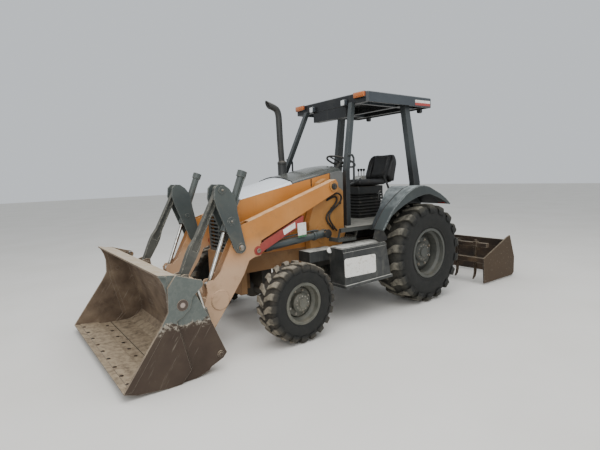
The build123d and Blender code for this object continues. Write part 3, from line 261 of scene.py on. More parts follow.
# The enamels, each with what differs from the shared look; wear and patch are in mm
enamelShared = {"runs": 0.2, "wear": 6, "edge": 0.5}
enamels = {
    "orangeEnamel": {"paint": "#BF7A33", "faded": "#C88845", "patch": 700, "runs": 0.22, "smear": 0.25,
                     "grime": "#8A6440", "dustAndHighlight": 0.5, "mud": 0.25, "soil": "#BFA17A", "edge": 0.8,
                     "bare": "#5E4A38", "chips": 0.2, "rough": 0.38},
    # boomEnamel: the pale cream on upward faces is dust and a painted highlight along the arms' top flanges;
    # the paler part low down is dust
    "boomEnamel": {"paint": "#B67531", "faded": "#BF8142", "patch": 500, "smear": 0.4, "grime": "#80603F",
                   "dustAndHighlight": 0.75, "mud": 0.25, "soil": "#CDB490", "wear": 8, "edge": 0.9, "bare": "#57463A",
                   "chips": 0.4, "rough": 0.45, "other": (2, 1.12, 0.8, "#C4A081")},
    "towerEnamel": {"paint": "#A8743A", "faded": "#B58247", "patch": 320, "runs": 0.35, "smear": 0.5,
                    "grime": "#6E5233", "dustAndHighlight": 0.5, "mud": 0.3, "soil": "#9C8262", "wear": 8, "edge": 0.9,
                    "bare": "#4E3F33", "chips": 0.5, "rough": 0.5},
    # railEnamel: behind x = 0.3 m, under the deck, the rail is near black
    "railEnamel": {"paint": "#8A6540", "faded": "#9C7650", "patch": 300, "smear": 0.5, "grime": "#3E3226",
                   "dustAndHighlight": 0.5, "mud": 0.35, "soil": "#7D6A52", "bare": "#4A3B2E", "chips": 0.3,
                   "rough": 0.6, "other": (0, 0.38, 0.3, "#17150F")},
    "leverEnamel": {"paint": "#3C4241", "faded": "#484E4B", "patch": 260, "runs": 0.3, "smear": 0.5,
                    "grime": "#5E5B50", "dustAndHighlight": 0.5, "mud": 0.35, "soil": "#8B8574", "wear": 8, "edge": 0.9,
                    "bare": "#96948A", "chips": 0.45, "rough": 0.45},
    "muddyEnamel": {"paint": "#3A3C38", "faded": "#4A4B46", "patch": 120, "runs": 0.5, "smear": 0.8,
                    "grime": "#656158", "dustAndHighlight": 0.8, "mud": 0.45, "soil": "#7F7A6C", "wear": 9, "edge": 1.0,
                    "bare": "#A8A496", "chips": 0.7, "rough": 0.6},
    "cylinderEnamel": {"paint": "#30383A", "faded": "#3D4546", "patch": 300, "smear": 0.35,
                       "grime": "#55534A", "dustAndHighlight": 0.45, "mud": 0.15, "soil": "#8A8574", "wear": 5,
                       "edge": 0.8, "bare": "#8A877C", "chips": 0.35, "rough": 0.36},
    "postEnamel": {"paint": "#2F3436", "faded": "#393E3F", "patch": 500, "smear": 0.2, "grime": "#4B4A44",
                   "dustAndHighlight": 0.35, "mud": 0.12, "soil": "#77736A", "edge": 0.7, "bare": "#6F6D66",
                   "chips": 0.2, "rough": 0.4, "other": (2, 2.0, 1.75, "#181B1C")},
    "slateEnamel": {"paint": "#404648", "faded": "#4C5252", "patch": 500, "smear": 0.25, "grime": "#5A574F",
                    "dustAndHighlight": 0.3, "mud": 0.15, "soil": "#8C8778", "wear": 7, "edge": 0.8, "bare": "#8F8C83",
                    "chips": 0.3, "rough": 0.42},
    # fenderEnamel: inboard of |y| = 0.832 m the fender is darker, painted shade
    "fenderEnamel": {"paint": "#2E3434", "faded": "#3A4141", "patch": 450, "smear": 0.3, "grime": "#50504A",
                     "dustAndHighlight": 1.1, "level": 0.72, "mud": 0.1, "soil": "#9AA1A0", "wear": 9, "edge": 0.9,
                     "bare": "#8D938F", "chips": 0.1, "rough": 0.42, "other": (1, 0.838, 0.832, "#20262A")},
    "boxEnamel": {"paint": "#191C1D", "faded": "#222526", "patch": 400, "runs": 0.7, "smear": 0.6,
                  "grime": "#56554E", "dustAndHighlight": 1.6, "mud": 0.1, "soil": "#B6B5AD", "wear": 7, "edge": 0.6,
                  "bare": "#6E6C66", "chips": 0.2, "rough": 0.45},
    # canopyEnamel: its front faces, its downward faces and all below z = 2.606 m are near black, painted
    # shade under and round the roof
    "canopyEnamel": {"paint": "#33393E", "faded": "#3C4247", "patch": 700, "smear": 0.2, "grime": "#55544D",
                     "dustAndHighlight": 0.3, "mud": 0.0, "soil": "#8C887E", "wear": 5, "bare": "#7C7A73", "chips": 0.05,
                     "rough": 0.38, "underShade": "#121415", "frontShade": "#101214",
                     "other": (2, 2.612, 2.606, "#0C0D0E")},
    # the hood top's pale grey paint and faded colours are a painted reflection of the sky on its dark grey
    # paint; the dark grey behind x = 0.858 m is the paint's own colour
    "hoodReflectionEnamel": {"paint": "#D3D9DE", "faded": "#DCE0E4", "patch": 500, "runs": 0.1, "smear": 0.15,
                   "grime": "#8A8A84", "dustAndHighlight": 0.1, "mud": 0.0, "soil": "#B4AC9C", "wear": 5,
                   "bare": "#6A655C", "chips": 0.0, "rough": 0.16, "other": (0, 0.862, 0.858, "#3F4341")},
    "cowlEnamel": {"paint": "#676967", "faded": "#737472", "patch": 400, "smear": 0.2, "grime": "#4A4A46",
                   "dustAndHighlight": 0.3, "mud": 0.0, "soil": "#8C877B", "wear": 5, "bare": "#7A766C", "chips": 0.1,
                   "rough": 0.4},
    "frontRimEnamel": {"paint": "#42453F", "faded": "#54564F", "patch": 120, "runs": 0.3, "smear": 0.7,
                       "grime": "#3E3B34", "dustAndHighlight": 0.6, "mud": 0.35, "soil": "#88806F", "wear": 5,
                       "edge": 0.7, "bare": "#8C8878", "chips": 0.5, "rough": 0.55},
    "rearRimEnamel": {"paint": "#3C3F3D", "faded": "#4B4D49", "patch": 180, "smear": 0.4, "grime": "#35322D",
                      "dustAndHighlight": 0.4, "mud": 0.2, "soil": "#77705F", "wear": 5, "bare": "#6A5F50", "chips": 0.4,
                      "rough": 0.55},
    "blackEnamel": {"paint": "#222322", "faded": "#2C2D2B", "patch": 400, "runs": 0.3, "smear": 0.3,
                    "grime": "#3F3A32", "dustAndHighlight": 0.5, "mud": 0.35, "soil": "#6F6350", "bare": "#5C4A3B",
                    "chips": 0.2, "rough": 0.5},
    "deckEnamel": {"paint": "#2A2C2A", "faded": "#353734", "patch": 300, "smear": 0.3, "grime": "#4A463E",
                   "dustAndHighlight": 1.5, "mud": 0.2, "soil": "#73726A", "edge": 0.7, "bare": "#77716A", "chips": 0.3,
                   "rough": 0.55},
    "redEnamel": {"paint": "#8C302C", "faded": "#9B4038", "patch": 260, "smear": 0.35, "grime": "#5D3028",
                  "dustAndHighlight": 0.45, "mud": 0.1, "soil": "#A8826C", "edge": 0.8, "bare": "#6A4C42", "chips": 0.5,
                  "rough": 0.48},
}
steelShared = {"primer": "#A79F90", "boss": "#4C4038", "core": "#A2938A", "lipSoil": "#BDB5A6"}
steels = {
    "bucketSteel": {"patch": 240, "rust": ["#4A3B2D", "#625243", "#766553", "#8A7964"], "outer": "#33261C",
                    "grain": (42, 3, 3), "slant": -0.6, "scored": 0.4, "bright": "#A59B8B",
                    "paint": "#59605C", "paintLow": 0.42, "paintHigh": 0.64, "soiled": 1.1,
                    "soil": "#AF9D83", "metal": 0.1, "pin": (2.5365, 0.687), "lip": 1.1},
    "bladeSteel": {"patch": 220, "rust": ["#1C140E", "#2E2218", "#3F3022", "#5A4733"], "outer": "#4A3926",
                   "grain": (30, 3, 30), "slant": 0.2, "scored": 0.25, "bright": "#A49A88",
                   "paint": "#5A5246", "paintLow": 1.2, "paintHigh": 1.6, "soiled": 0.6, "soil": "#8A7A62",
                   "metal": 0.1, "pin": (9, 9), "lip": 0.0},
}
finishes = {name: agedEnamel(name, {**enamelShared, **look}) for name, look in enamels.items()}
finishes.update({name: diggingSteel(name, {**steelShared, **look}) for name, look in steels.items()})


# Hard-chromed rod, ground and polished: a mirror with a film of dust.
def chromedRod():
    finish, shader, add, place = newFinish("chromedRod")
    film = add("TexNoise", {"Scale": 25.0, "Detail": 6.0}, {"Vector": place})
    rough = add("MapRange", {"From Min": 0.35, "From Max": 0.7, "To Min": 0.08, "To Max": 0.3},
                {"Value": film})
    colour = add("ValToRGB", {"stops": [(0.35, "#D8D8D6"), (0.7, "#B7B0A2")]}, {0: film})
    join(shader, {"Base Color": colour, "Roughness": rough})
    shader.inputs["Metallic"].default_value = 1.0
    return finish


# Moulded tyre rubber: black walls, with dry dust on the lugs' faces and between them.
def tyreRubber(name, look):
    finish, shader, add, place = newFinish(name)
    fromAxle = add("Mapping", {"Location": (-look["middle"].x, 0, -look["middle"].z), "Scale": (1, 0, 1)},
                   {"Vector": place})
    reach = add("VectorMath", {"operation": "LENGTH"}, {0: fromAxle})
    grains = add("TexNoise", {"Scale": 14.0, "Detail": 10.0, "Roughness": 0.7}, {"Vector": place})
    wall = add("ValToRGB", {"stops": [(0.35, "#121311"), (0.6, "#1B1B18"), (0.8, "#2C2A25")]}, {0: grains})
    tread = add("MapRange", {"From Min": (look["crown"] - 50) / 1000,
                             "From Max": (look["crown"] - 15) / 1000, "To Max": 0.6},
                {"Value": (reach, "Value")})
    grainMask = add("MapRange", {"From Min": 0.28, "From Max": 0.58}, {"Value": grains})
    between = add("Math", {"operation": "MULTIPLY"}, {0: tread, 1: grainMask})
    face = add("MapRange", {"From Min": (look["radius"] - 20) / 1000,
                            "From Max": (look["radius"] - 4) / 1000, "To Max": look["scuffed"]},
               {"Value": (reach, "Value")})
    faceMask = add("Math", {"operation": "MULTIPLY"}, {0: face, 1: grainMask})
    colour = layCoats(add, wall, [(between, look["groove"]), (faceMask, look["lug"])])
    fine = add("TexNoise", {"Scale": 180.0, "Detail": 4.0}, {"Vector": place})
    bump = add("Bump", {"Strength": 0.25, "Distance": 0.002}, {"Height": fine})
    join(shader, {"Base Color": colour, "Normal": bump})
    shader.inputs["Roughness"].default_value = 0.8
    return finish


# Coated vinyl, embossed with a fine grain: dark, slightly glossy, dusty in the folds.
def seatVinyl():
    finish, shader, add, place = newFinish("seatVinyl")
    grain = add("TexVoronoi", {"Scale": 260.0}, {"Vector": place})
    patches = add("TexNoise", {"Scale": 9.0, "Detail": 6.0}, {"Vector": place})
    colour = add("ValToRGB", {"stops": [(0.35, "#171717"), (0.6, "#232221"), (0.75, "#3D3A34")]},
                 {0: patches})
    rough = add("MapRange", {"From Min": 0.35, "From Max": 0.7, "To Min": 0.42, "To Max": 0.7},
                {"Value": patches})
    bump = add("Bump", {"Strength": 0.2, "Distance": 0.001}, {"Height": grain})
    join(shader, {"Base Color": colour, "Roughness": rough, "Normal": bump})
    return finish


# Moulded black rubber and plastic, dull and dusty.
def mouldedRubber():
    finish, shader, add, place = newFinish("mouldedRubber")
    patches = add("TexNoise", {"Scale": 20.0, "Detail": 7.0}, {"Vector": place})
    colour = add("ValToRGB", {"stops": [(0.35, "#161615"), (0.6, "#24231F"), (0.75, "#4A443A")]},
                 {0: patches})
    bump = add("Bump", {"Strength": 0.15, "Distance": 0.001}, {"Height": patches})
    join(shader, {"Base Color": colour, "Normal": bump})
    shader.inputs["Roughness"].default_value = 0.62
    return finish


finishes["seatVinyl"] = seatVinyl()
finishes["mouldedRubber"] = mouldedRubber()


# Zinc-plated and bare steel hardware, dull with a little rust in the corners.
def bareSteel(name, clean, dull, rusty):
    finish, shader, add, place = newFinish(name)
    spots = add("TexNoise", {"Scale": 30.0, "Detail": 8.0}, {"Vector": place})
    colour = add("ValToRGB", {"stops": [(0.35, clean), (0.52, dull), (0.68, rusty)]}, {0: spots})
    rough = add("MapRange", {"From Min": 0.35, "From Max": 0.65, "To Min": 0.35, "To Max": 0.8},
                {"Value": spots})
    join(shader, {"Base Color": colour, "Roughness": rough})
    shader.inputs["Metallic"].default_value = 0.6
    return finish


# Screen-printed sheet, gloss-coated and slightly dirty.
def printedPlate(name, fresh, dirty):
    finish, shader, add, place = newFinish(name)
    dirt = add("TexNoise", {"Scale": 22.0, "Detail": 8.0, "Roughness": 0.65}, {"Vector": place})
    colour = add("ValToRGB", {"stops": [(0.5, fresh), (0.72, dirty)]}, {0: dirt})
    rough = add("MapRange", {"From Min": 0.45, "From Max": 0.7, "To Min": 0.25, "To Max": 0.6},
                {"Value": dirt})
    join(shader, {"Base Color": colour, "Roughness": rough})
    return finish


# Moulded polycarbonate lens: coloured through, glossy, with flutes 9 mm apart.
def lensFinish(name, deep, pale, clear):
    finish, shader, add, place = newFinish(name)
    flutes = add("TexWave", {"Scale": 35.0, "Distortion": 0.0, "bands_direction": "Y"}, {"Vector": place})
    colour = add("ValToRGB", {"stops": [(0.2, deep), (0.9, pale)]}, {0: (flutes, "Fac")})
    bump = add("Bump", {"Strength": 0.5, "Distance": 0.002}, {"Height": (flutes, "Fac")})
    join(shader, {"Base Color": colour, "Normal": bump})
    shader.inputs["Roughness"].default_value = 0.12
    shader.inputs["Coat Weight"].default_value = clear
    return finish


# Colours, clean first, and for a lens how clear its skin is
smallFinishes = {
    bareSteel: {"bareSteel": ("#A5A19A", "#8A8377", "#6B5742"),
                "oxidisedSteel": ("#3A352F", "#4A4037", "#5C4A38")},
    printedPlate: {"whitePlate": ("#E4E2DC", "#B3AA98"), "greenLabel": ("#2E6B45", "#5A6B50"),
                   "silverTag": ("#C9C9C4", "#9A9485"), "redLabel": ("#A8403A", "#8A5A4C")},
    lensFinish: {"amberLens": ("#9A460A", "#C46F18", 0.6), "redLens": ("#8E1512", "#C12B22", 0.6),
                 "clearLens": ("#B9BDBE", "#E6E8E8", 0.8)},
}
for make, rows in smallFinishes.items():
    for name, look in rows.items():
        finishes[name] = make(name, *look)
finishes["chromedRod"] = chromedRod()

# Industrial tyres: sizes, lugs, and the colours of the dust between the lugs and on them
tyres = {
    "front": {"middle": spot(2142, 907, 421), "radius": 421, "half": 150, "bead": 203, "beadHalf": 116,
              "crown": 398, "lugs": 20, "thick": (44, 64), "steps": 60, "groove": "#4A443A",
              "lug": "#8A8272", "scuffed": 0.9},
    "rear": {"middle": spot(0, 791, 656), "radius": 656, "half": 240, "bead": 311, "beadHalf": 194,
             "crown": 626, "lugs": 18, "thick": (60, 94), "steps": 90, "groove": "#4A473E", "lug": "#7D786B",
             "scuffed": 1.0},
}
for end, look in tyres.items():
    finishes[end + "TyreRubber"] = tyreRubber(end + "TyreRubber", look)

# Each node's finish
dressing = {
    "orangeEnamel": ["hood_sides"],
    "boomEnamel": ["loader_arms"],
    "towerEnamel": ["loader_towers"],
    "railEnamel": ["chassis_frame"],
    "leverEnamel": ["bucket_levers", "tilt_barrels"],
    "muddyEnamel": ["dump_links", "clam_barrels"],
    "cylinderEnamel": ["lift_barrels"],
    "postEnamel": ["rollover_posts"],
    "slateEnamel": ["hitch_lower_links", "hitch_rockshaft", "grille"],
    "fenderEnamel": ["fenders"],
    "boxEnamel": ["side_boxes"],
    "canopyEnamel": ["canopy_roof", "canopy_lamps"],
    "hoodReflectionEnamel": ["hood_top"],
    "cowlEnamel": ["cowl"],
    "frontRimEnamel": ["rim_front_left", "rim_front_right"],
    "rearRimEnamel": ["rim_rear_left", "rim_rear_right"],
    "blackEnamel": ["engine_and_gearbox", "front_axle", "rear_axle", "knuckle_left", "knuckle_right",
                    "exhaust_stack", "steering_wheel", "seat", "hitch_lift_rods", "hitch_top_link"],
    "deckEnamel": ["platform"],
    "redEnamel": ["lift_lock_strut"],
    "bucketSteel": ["bucket_back", "bucket_clam"],
    "bladeSteel": ["box_blade"],
    "chromedRod": ["lift_rods", "tilt_rods", "clam_rods"],
    "frontTyreRubber": ["tyre_front_left", "tyre_front_right"],
    "rearTyreRubber": ["tyre_rear_left", "tyre_rear_right"],
}
for finishName, names in dressing.items():
    for name in names:
        nodes[name].data.materials.clear()
        nodes[name].data.materials.append(finishes[finishName])
print("stage: nodes finished")


# Swept concrete, pale and almost even.
def yardFloor():
    finish, shader, add, place = newFinish("yardConcrete")
    patches = add("TexNoise", {"Scale": 0.8, "Detail": 3.0}, {"Vector": place})
    colour = add("ValToRGB", {"stops": [(0.35, "#D9D6CF"), (0.65, "#DEDBD5")]}, {0: patches})
    join(shader, {"Base Color": colour})
    shader.inputs["Roughness"].default_value = 0.9
    return finish


stageLook = {"floor": 90, "sky": "#E9EEF3", "glow": 0.85, "aim": (0, 0, 0.8),
             "lamps": (((1, 2, 8), 9, 700), ((7, 6, 4), 5, 220))}


def setStage():
    bpy.ops.object.select_all(action="DESELECT")
    bpy.ops.mesh.primitive_plane_add(size=stageLook["floor"], location=(0, 0, -0.002))
    floor = bpy.context.object
    floor.name = "yardFloor"
    floor.data.materials.append(yardFloor())
    sky = bpy.data.worlds.new("cloudySky")
    bpy.context.scene.world = sky
    sky.use_nodes = True
    glow = sky.node_tree.nodes["Background"]
    glow.inputs["Color"].default_value = linear(stageLook["sky"])
    glow.inputs["Strength"].default_value = stageLook["glow"]
    for place, size, power in stageLook["lamps"]:
        bpy.ops.object.light_add(type="AREA", location=place)
        lamp = bpy.context.object
        lamp.data.size = size
        lamp.data.energy = power
        lamp.rotation_euler = (Vector(stageLook["aim"]) - Vector(place)).to_track_quat("-Z", "Y").to_euler()


setCamera()
setStage()
print("stage: camera and lights set")


# Modelling helpers. A finished piece is left in object mode with its place in its mesh.
def setMode(mode):
    bpy.ops.object.mode_set(mode=mode)


def clearAll():
    if bpy.context.object and bpy.context.object.mode == "EDIT":
        setMode("OBJECT")
    bpy.ops.object.select_all(action="DESELECT")


def pick(piece):
    clearAll()
    piece.select_set(True)
    bpy.context.view_layer.objects.active = piece


def pushOut(way):
    bpy.ops.mesh.extrude_region_move(TRANSFORM_OT_translate={"value": way})


def applyModifier(piece, name, kind, settings):
    modifier = piece.modifiers.new(name, kind)
    for setting, value in settings.items():
        setattr(modifier, setting, value)
    bpy.ops.object.modifier_apply(modifier=name)


# Draws a run of points from a plane merged to one vertex, and leaves it selected in edit mode.
def drawLine(name, points):
    clearAll()
    bpy.ops.mesh.primitive_plane_add(size=0.01, location=points[0])
    piece = bpy.context.object
    piece.name = name
    setMode("EDIT")
    bpy.ops.mesh.select_mode(type="VERT")
    bpy.ops.mesh.merge(type="CENTER")
    for a, b in zip(points, points[1:]):
        bpy.ops.mesh.extrude_vertices_move(TRANSFORM_OT_translate={"value": b - a})
    bpy.ops.mesh.select_all(action="SELECT")
    return piece


def settle(piece, angle=35):
    setMode("EDIT")
    bpy.ops.mesh.select_all(action="SELECT")
    bpy.ops.mesh.remove_doubles(threshold=0.00005)
    bpy.ops.mesh.normals_make_consistent(inside=False)
    setMode("OBJECT")
    bpy.ops.object.transform_apply()
    bpy.ops.object.shade_smooth_by_angle(angle=math.radians(angle))
    return piece


# Chooses the points or the faces that pass a test, and goes into edit mode
def choose(piece, kind, test):
    pick(piece)
    mesh = piece.data
    for part in list(mesh.vertices) + list(mesh.edges) + list(mesh.polygons):
        part.select = False
    for part in mesh.vertices if kind == "VERT" else mesh.polygons:
        part.select = test(part)
    setMode("EDIT")
    bpy.ops.mesh.select_mode(type=kind)


def roundEdges(piece, width, segments=2, angle=30):
    pick(piece)
    settings = {"width": width / 1000, "segments": segments, "limit_method": "ANGLE",
                "angle_limit": math.radians(angle)}
    applyModifier(piece, "roundedEdges", "BEVEL", settings)
    return piece


# A closed outline pushed through along a vector, in millimetres.
def plate(name, points, push, rounding=0):
    piece = drawLine(name, points)
    bpy.ops.mesh.edge_face_add()
    pushOut(Vector(push) / 1000)
    settle(piece)
    return roundEdges(piece, rounding) if rounding else piece


# A section of (along, radius) points turned about an axis through the middle.
def turnedPiece(name, middle, axis, section, steps=32, angle=35):
    axis = Vector(axis).normalized()
    side = axis.orthogonal().normalized()
    points = [middle + (axis * a + side * r) / 1000 for a, r in section]
    piece = drawLine(name, points)
    bpy.ops.mesh.spin(steps=steps, angle=2 * math.pi, center=middle, axis=axis)
    return settle(piece, angle)


def copyOf(piece, name, move):
    twin = piece.copy()
    twin.data = piece.data.copy()
    twin.name = name
    twin.data.transform(move)
    if move.is_negative:
        twin.data.flip_normals()
    bpy.context.scene.collection.objects.link(twin)
    return twin


def joinAll(name, pieces):
    clearAll()
    for piece in pieces:
        piece.select_set(True)
    bpy.context.view_layer.objects.active = pieces[0]
    bpy.ops.object.join()
    pieces[0].name = name
    return pieces[0]


def dress(piece, finish, body="chassis"):
    piece.data.materials.clear()
    piece.data.materials.append(finishes[finish])
    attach(piece, body)
    return piece


# Dresses a left-hand piece as its row says, and its mirror image on the right unless the row is for one
def dressSides(left, name, look):
    body = look.get("body", "chassis")
    dress(left, look["finish"], body)
    if "one" not in look:
        dress(copyOf(left, name + "Right", toRight), look["finish"], body)


toRight = Matrix.Scale(-1, 4, (0, 1, 0))


def turnedAbout(middle, degrees, axis="Y"):
    turn = Matrix.Rotation(math.radians(degrees), 4, axis)
    return Matrix.Translation(middle) @ turn @ Matrix.Translation(-middle)


# A tyre is a rounded carcass, slanted lugs in two rows and a rib that guards the rim.
def tyreCarcass(name, look):
    half, bead, crown = look["half"], look["bead"], look["crown"]
    rise = crown - bead
    outer = [(look["beadHalf"], bead + 0.5), (look["beadHalf"] + 10, bead + 0.07 * rise),
             (half * 0.9, bead + 0.12 * rise), (half * 0.93, bead + 0.135 * rise),
             (half * 0.93, bead + 0.16 * rise), (half * 0.915, bead + 0.18 * rise),
             (half * 0.965, bead + 0.3 * rise), (half - 3, bead + 0.44 * rise),
             (half * 0.98, bead + 0.6 * rise), (half * 0.935, bead + 0.76 * rise),
             (half * 0.87, bead + 0.89 * rise), (half * 0.76, bead + 0.965 * rise),
             (half * 0.5, bead + 0.99 * rise), (0, crown)]
    section = outer + [(-a, r) for a, r in reversed(outer[:-1])] + [outer[0]]
    return turnedPiece(name, look["middle"], (0, 1, 0), section, look["steps"], 40)


# One lug, drawn across and pushed out in short runs: slanted at the middle, straight and wider outside.
lugBend = [(0, 0.09), (0.3, 0.034), (0.5, -0.018), (0.62, -0.034), (0.8, -0.038), (1, -0.043)]


def tyreLug(name, look, side):
    half, radius = look["half"], look["radius"]
    reach = [(4, radius), (half * 0.2, radius), (half * 0.36, radius), (half * 0.5, radius),
             (half * 0.64, radius), (half * 0.84, radius - 3), (half * 0.95, radius - 0.028 * radius),
             (half - 1.5, radius - 0.07 * radius), (half - 0.5, radius - 0.115 * radius)]
    places, widths = [], []
    for y, top in reach:
        share = y / half
        for (a, start), (b, end) in zip(lugBend, lugBend[1:]):
            if a <= share <= b:
                x = radius * (start + (end - start) * (share - a) / (b - a))
        wide = look["thick"][0] + (look["thick"][1] - look["thick"][0]) * min(1, share / 0.64)
        reachTop = math.sqrt(top ** 2 - (abs(x) + wide / 2) ** 2)
        places.append(look["middle"] + Vector((x, side * y, reachTop)) / 1000)
        widths.append(wide)
    deep = radius - look["crown"] + 14
    wide = widths[0] / 2
    across = [(-wide, 0), (wide, 0), (wide + 5, -deep), (-wide - 5, -deep)]
    piece = drawLine(name, [places[0] + Vector((x, 0, z)) / 1000 for x, z in across])
    bpy.ops.mesh.edge_face_add()
    for k in range(1, len(places)):
        pushOut(places[k] - places[k - 1])
        bpy.ops.transform.resize(value=(widths[k] / widths[k - 1], 1, 1), center_override=places[k])
    settle(piece)
    return roundEdges(piece, 0.012 * radius, 2, 50)


for end, look in tyres.items():
    parts = [tyreCarcass(end + "Carcass", look)]
    for side, shift in ((1, 0), (-1, 0.5)):
        first = tyreLug(end + "Lug", look, side)
        step = 360 / look["lugs"]
        parts += [copyOf(first, end + "Lug", turnedAbout(look["middle"], (k + shift) * step))
                  for k in range(look["lugs"])]
        bpy.data.objects.remove(first)
    left = joinAll(end + "TyreLeft", parts)
    right = copyOf(left, end + "TyreRight", toRight)
    for piece, hand in ((left, "left"), (right, "right")):
        dress(piece, end + "TyreRubber", "wheel_" + end + "_" + hand)
        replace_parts(piece, "tyre_" + end + "_" + hand)
print("stage: tyres modelled")

# Operator's seat: vinyl cushions swollen by pressure, over a ribbed rubber boot on a black pan.
seatPads = {
    "seatCushion": {"outline": [(541, 1625), (535, 1585), (505, 1572), (-15, 1572), (-35, 1600), (5, 1640),
                                (345, 1630), (515, 1640)], "half": 168, "lift": 12},
    "seatBack": {"outline": [(-195, 1600), (-282, 1960), (-256, 2010), (-205, 2008), (-166, 1905),
                             (-95, 1690), (-115, 1640)], "half": 160, "lift": 12},
}
seatBolsters = {
    "seatCushionBolster": {"outline": [(535, 1640), (529, 1590), (505, 1570), (5, 1570), (-25, 1610),
                                       (5, 1650), (345, 1656), (505, 1652)], "low": 176, "high": 246},
    "seatBackBolster": {"outline": [(-195, 1606), (-276, 1960), (-252, 2006), (-200, 2002), (-140, 1890),
                                    (-84, 1750), (-70, 1686), (-95, 1640)], "low": 152, "high": 238,
                        "crown": (1940, 85)},
}
cushionSkin = {"voxel": 0.009, "pressure": 4, "steps": 15, "smooth": 0.6, "passes": 12}


# Swells a block into a cushion: remesh, a little pressure, one smoothing. No point moves over cap, in mm.
def swell(piece, cap):
    pick(piece)
    applyModifier(piece, "evenMesh", "REMESH", {"mode": "VOXEL", "voxel_size": cushionSkin["voxel"]})
    before = [v.co.copy() for v in piece.data.vertices]
    cloth = piece.modifiers.new("pressure", "CLOTH")
    cloth.settings.use_pressure = True
    cloth.settings.uniform_pressure_force = cushionSkin["pressure"]
    cloth.settings.effector_weights.gravity = 0
    for step in range(1, cushionSkin["steps"] + 1):
        bpy.context.scene.frame_set(step)
    bpy.ops.object.modifier_apply(modifier=cloth.name)
    bpy.context.scene.frame_set(1)
    for v, start in zip(piece.data.vertices, before):
        shift = v.co - start
        if shift.length > cap / 1000:
            v.co = start + shift.normalized() * cap / 1000
    applyModifier(piece, "evenSkin", "SMOOTH", {"factor": cushionSkin["smooth"],
                                                "iterations": cushionSkin["passes"]})
    bpy.ops.object.shade_smooth()
    return piece


def seatCushions():
    made = []
    for name, look in seatPads.items():
        block = plate(name, upright(look["outline"], -look["half"]), (0, 2 * look["half"], 0), 18)
        made.append(swell(block, look["lift"]))
    for name, look in seatBolsters.items():
        left = plate(name + "Left", upright(look["outline"], look["low"]),
                     (0, look["high"] - look["low"], 0))
        if "crown" in look:  # the outer top corner is round
            above, reach = look["crown"]
            far = spot(0, look["high"], above)
            choose(left, "VERT", lambda point: point.co.y > far.y - 0.001 and point.co.z > far.z)
            bpy.ops.mesh.bevel(offset=reach / 1000, segments=5, affect="EDGES")
            settle(left)
        left = swell(roundEdges(left, 18), 8)
        made += [left, copyOf(left, name + "Right", toRight)]
    return made


# The ribbed boot, with half width and rise round each fold, and the pan below the cushions
seatBoot = {"middle": 255, "foot": 1110, "half": 175, "long": 1.27, "folds": 7, "low": 1140, "pitch": 44,
            "fold": ((175, 0), (192, 12), (192, 18), (175, 30)), "longShare": 0.8}
seatPan = {"outline": [(15, -205), (505, -205), (505, 205), (15, 205)], "z": 1440, "tall": 118}
seatShell = {"outline": [(-115, 1580), (-215, 1600), (-294, 1940), (-278, 1952), (-200, 1615), (-115, 1600)],
             "half": 165}


def seatBase():
    look = seatBoot
    clearAll()
    bpy.ops.mesh.primitive_plane_add(size=look["half"] / 500, location=spot(look["middle"], 0, look["foot"]))
    boot = bpy.context.object
    boot.name = "seatBoot"
    setMode("EDIT")
    bpy.ops.transform.resize(value=(look["long"], 1, 1))
    last, height = look["half"], look["foot"]
    for k in range(look["folds"]):
        for half, rise in look["fold"]:
            z = look["low"] + k * look["pitch"] + rise
            pushOut((0, 0, (z - height) / 1000))
            grow = half / last
            bpy.ops.transform.resize(value=(1 + (grow - 1) * look["longShare"], grow, 1))
            last, height = half, z
    settle(boot)
    roundEdges(boot, 4)
    pan = plate("seatPan", flat(seatPan["outline"], seatPan["z"]), (0, 0, seatPan["tall"]), 12)
    half = seatShell["half"]
    shell = plate("seatBackShell", upright(seatShell["outline"], -half), (0, 2 * half, 0), 6)
    return boot, pan, shell


for piece in seatCushions():
    dress(piece, "seatVinyl")
boot, pan, shell = seatBase()
dress(boot, "mouldedRubber")
dress(pan, "blackEnamel")
dress(shell, "blackEnamel")
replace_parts(bpy.data.objects["seatCushion"], "seat")
print("stage: seat modelled")

# Fasteners: one hexagon bolt on its washer, copied to every place and joined, a piece for each body.
# Sizes are shares of the bolt's own, but for the washer's thickness.
boltShape = {"washer": 0.95, "washerThick": 3, "head": 0.82, "tall": 0.55, "rounding": 0.06, "dome": 0.42}


def hexBolt(size):
    thick, tall = boltShape["washerThick"] / 1000, boltShape["tall"] * size / 1000
    made = []
    for sides, share, deep, low in ((6, "head", tall, thick), (18, "washer", thick, 0)):
        clearAll()
        bpy.ops.mesh.primitive_cylinder_add(vertices=sides, radius=boltShape[share] * size / 1000,
                                            depth=deep, location=(0, 0, low + deep / 2))
        bpy.ops.object.transform_apply()
        made.append(bpy.context.object)
    roundEdges(made[0], size * boltShape["rounding"], 1, 40)
    return joinAll("hexBolt", made)


def domedBolt(size):
    clearAll()
    bpy.ops.mesh.primitive_uv_sphere_add(segments=12, ring_count=8, radius=size / 1000, location=(0, 0, 0))
    head = bpy.context.object
    head.name = "domedBolt"
    setMode("EDIT")
    bpy.ops.mesh.select_all(action="SELECT")
    bpy.ops.transform.resize(value=(1, 1, boltShape["dome"]), center_override=(0, 0, 0))
    bpy.ops.mesh.bisect(plane_co=(0, 0, 0), plane_no=(0, 0, 1), use_fill=True, clear_inner=True)
    setMode("OBJECT")
    return head


def fastenAt(name, pattern, places):
    made = []
    for point, normal in places:
        turn = Vector((0, 0, 1)).rotation_difference(Vector(normal)).to_matrix().to_4x4()
        made.append(copyOf(pattern, name, Matrix.Translation(point) @ turn))
    return joinAll(name, made)


def ring(middle, radius, count, start=0):
    angles = [math.radians(start + k * 360 / count) for k in range(count)]
    return [middle + Vector((math.cos(a), 0, math.sin(a))) * radius / 1000 for a in angles]


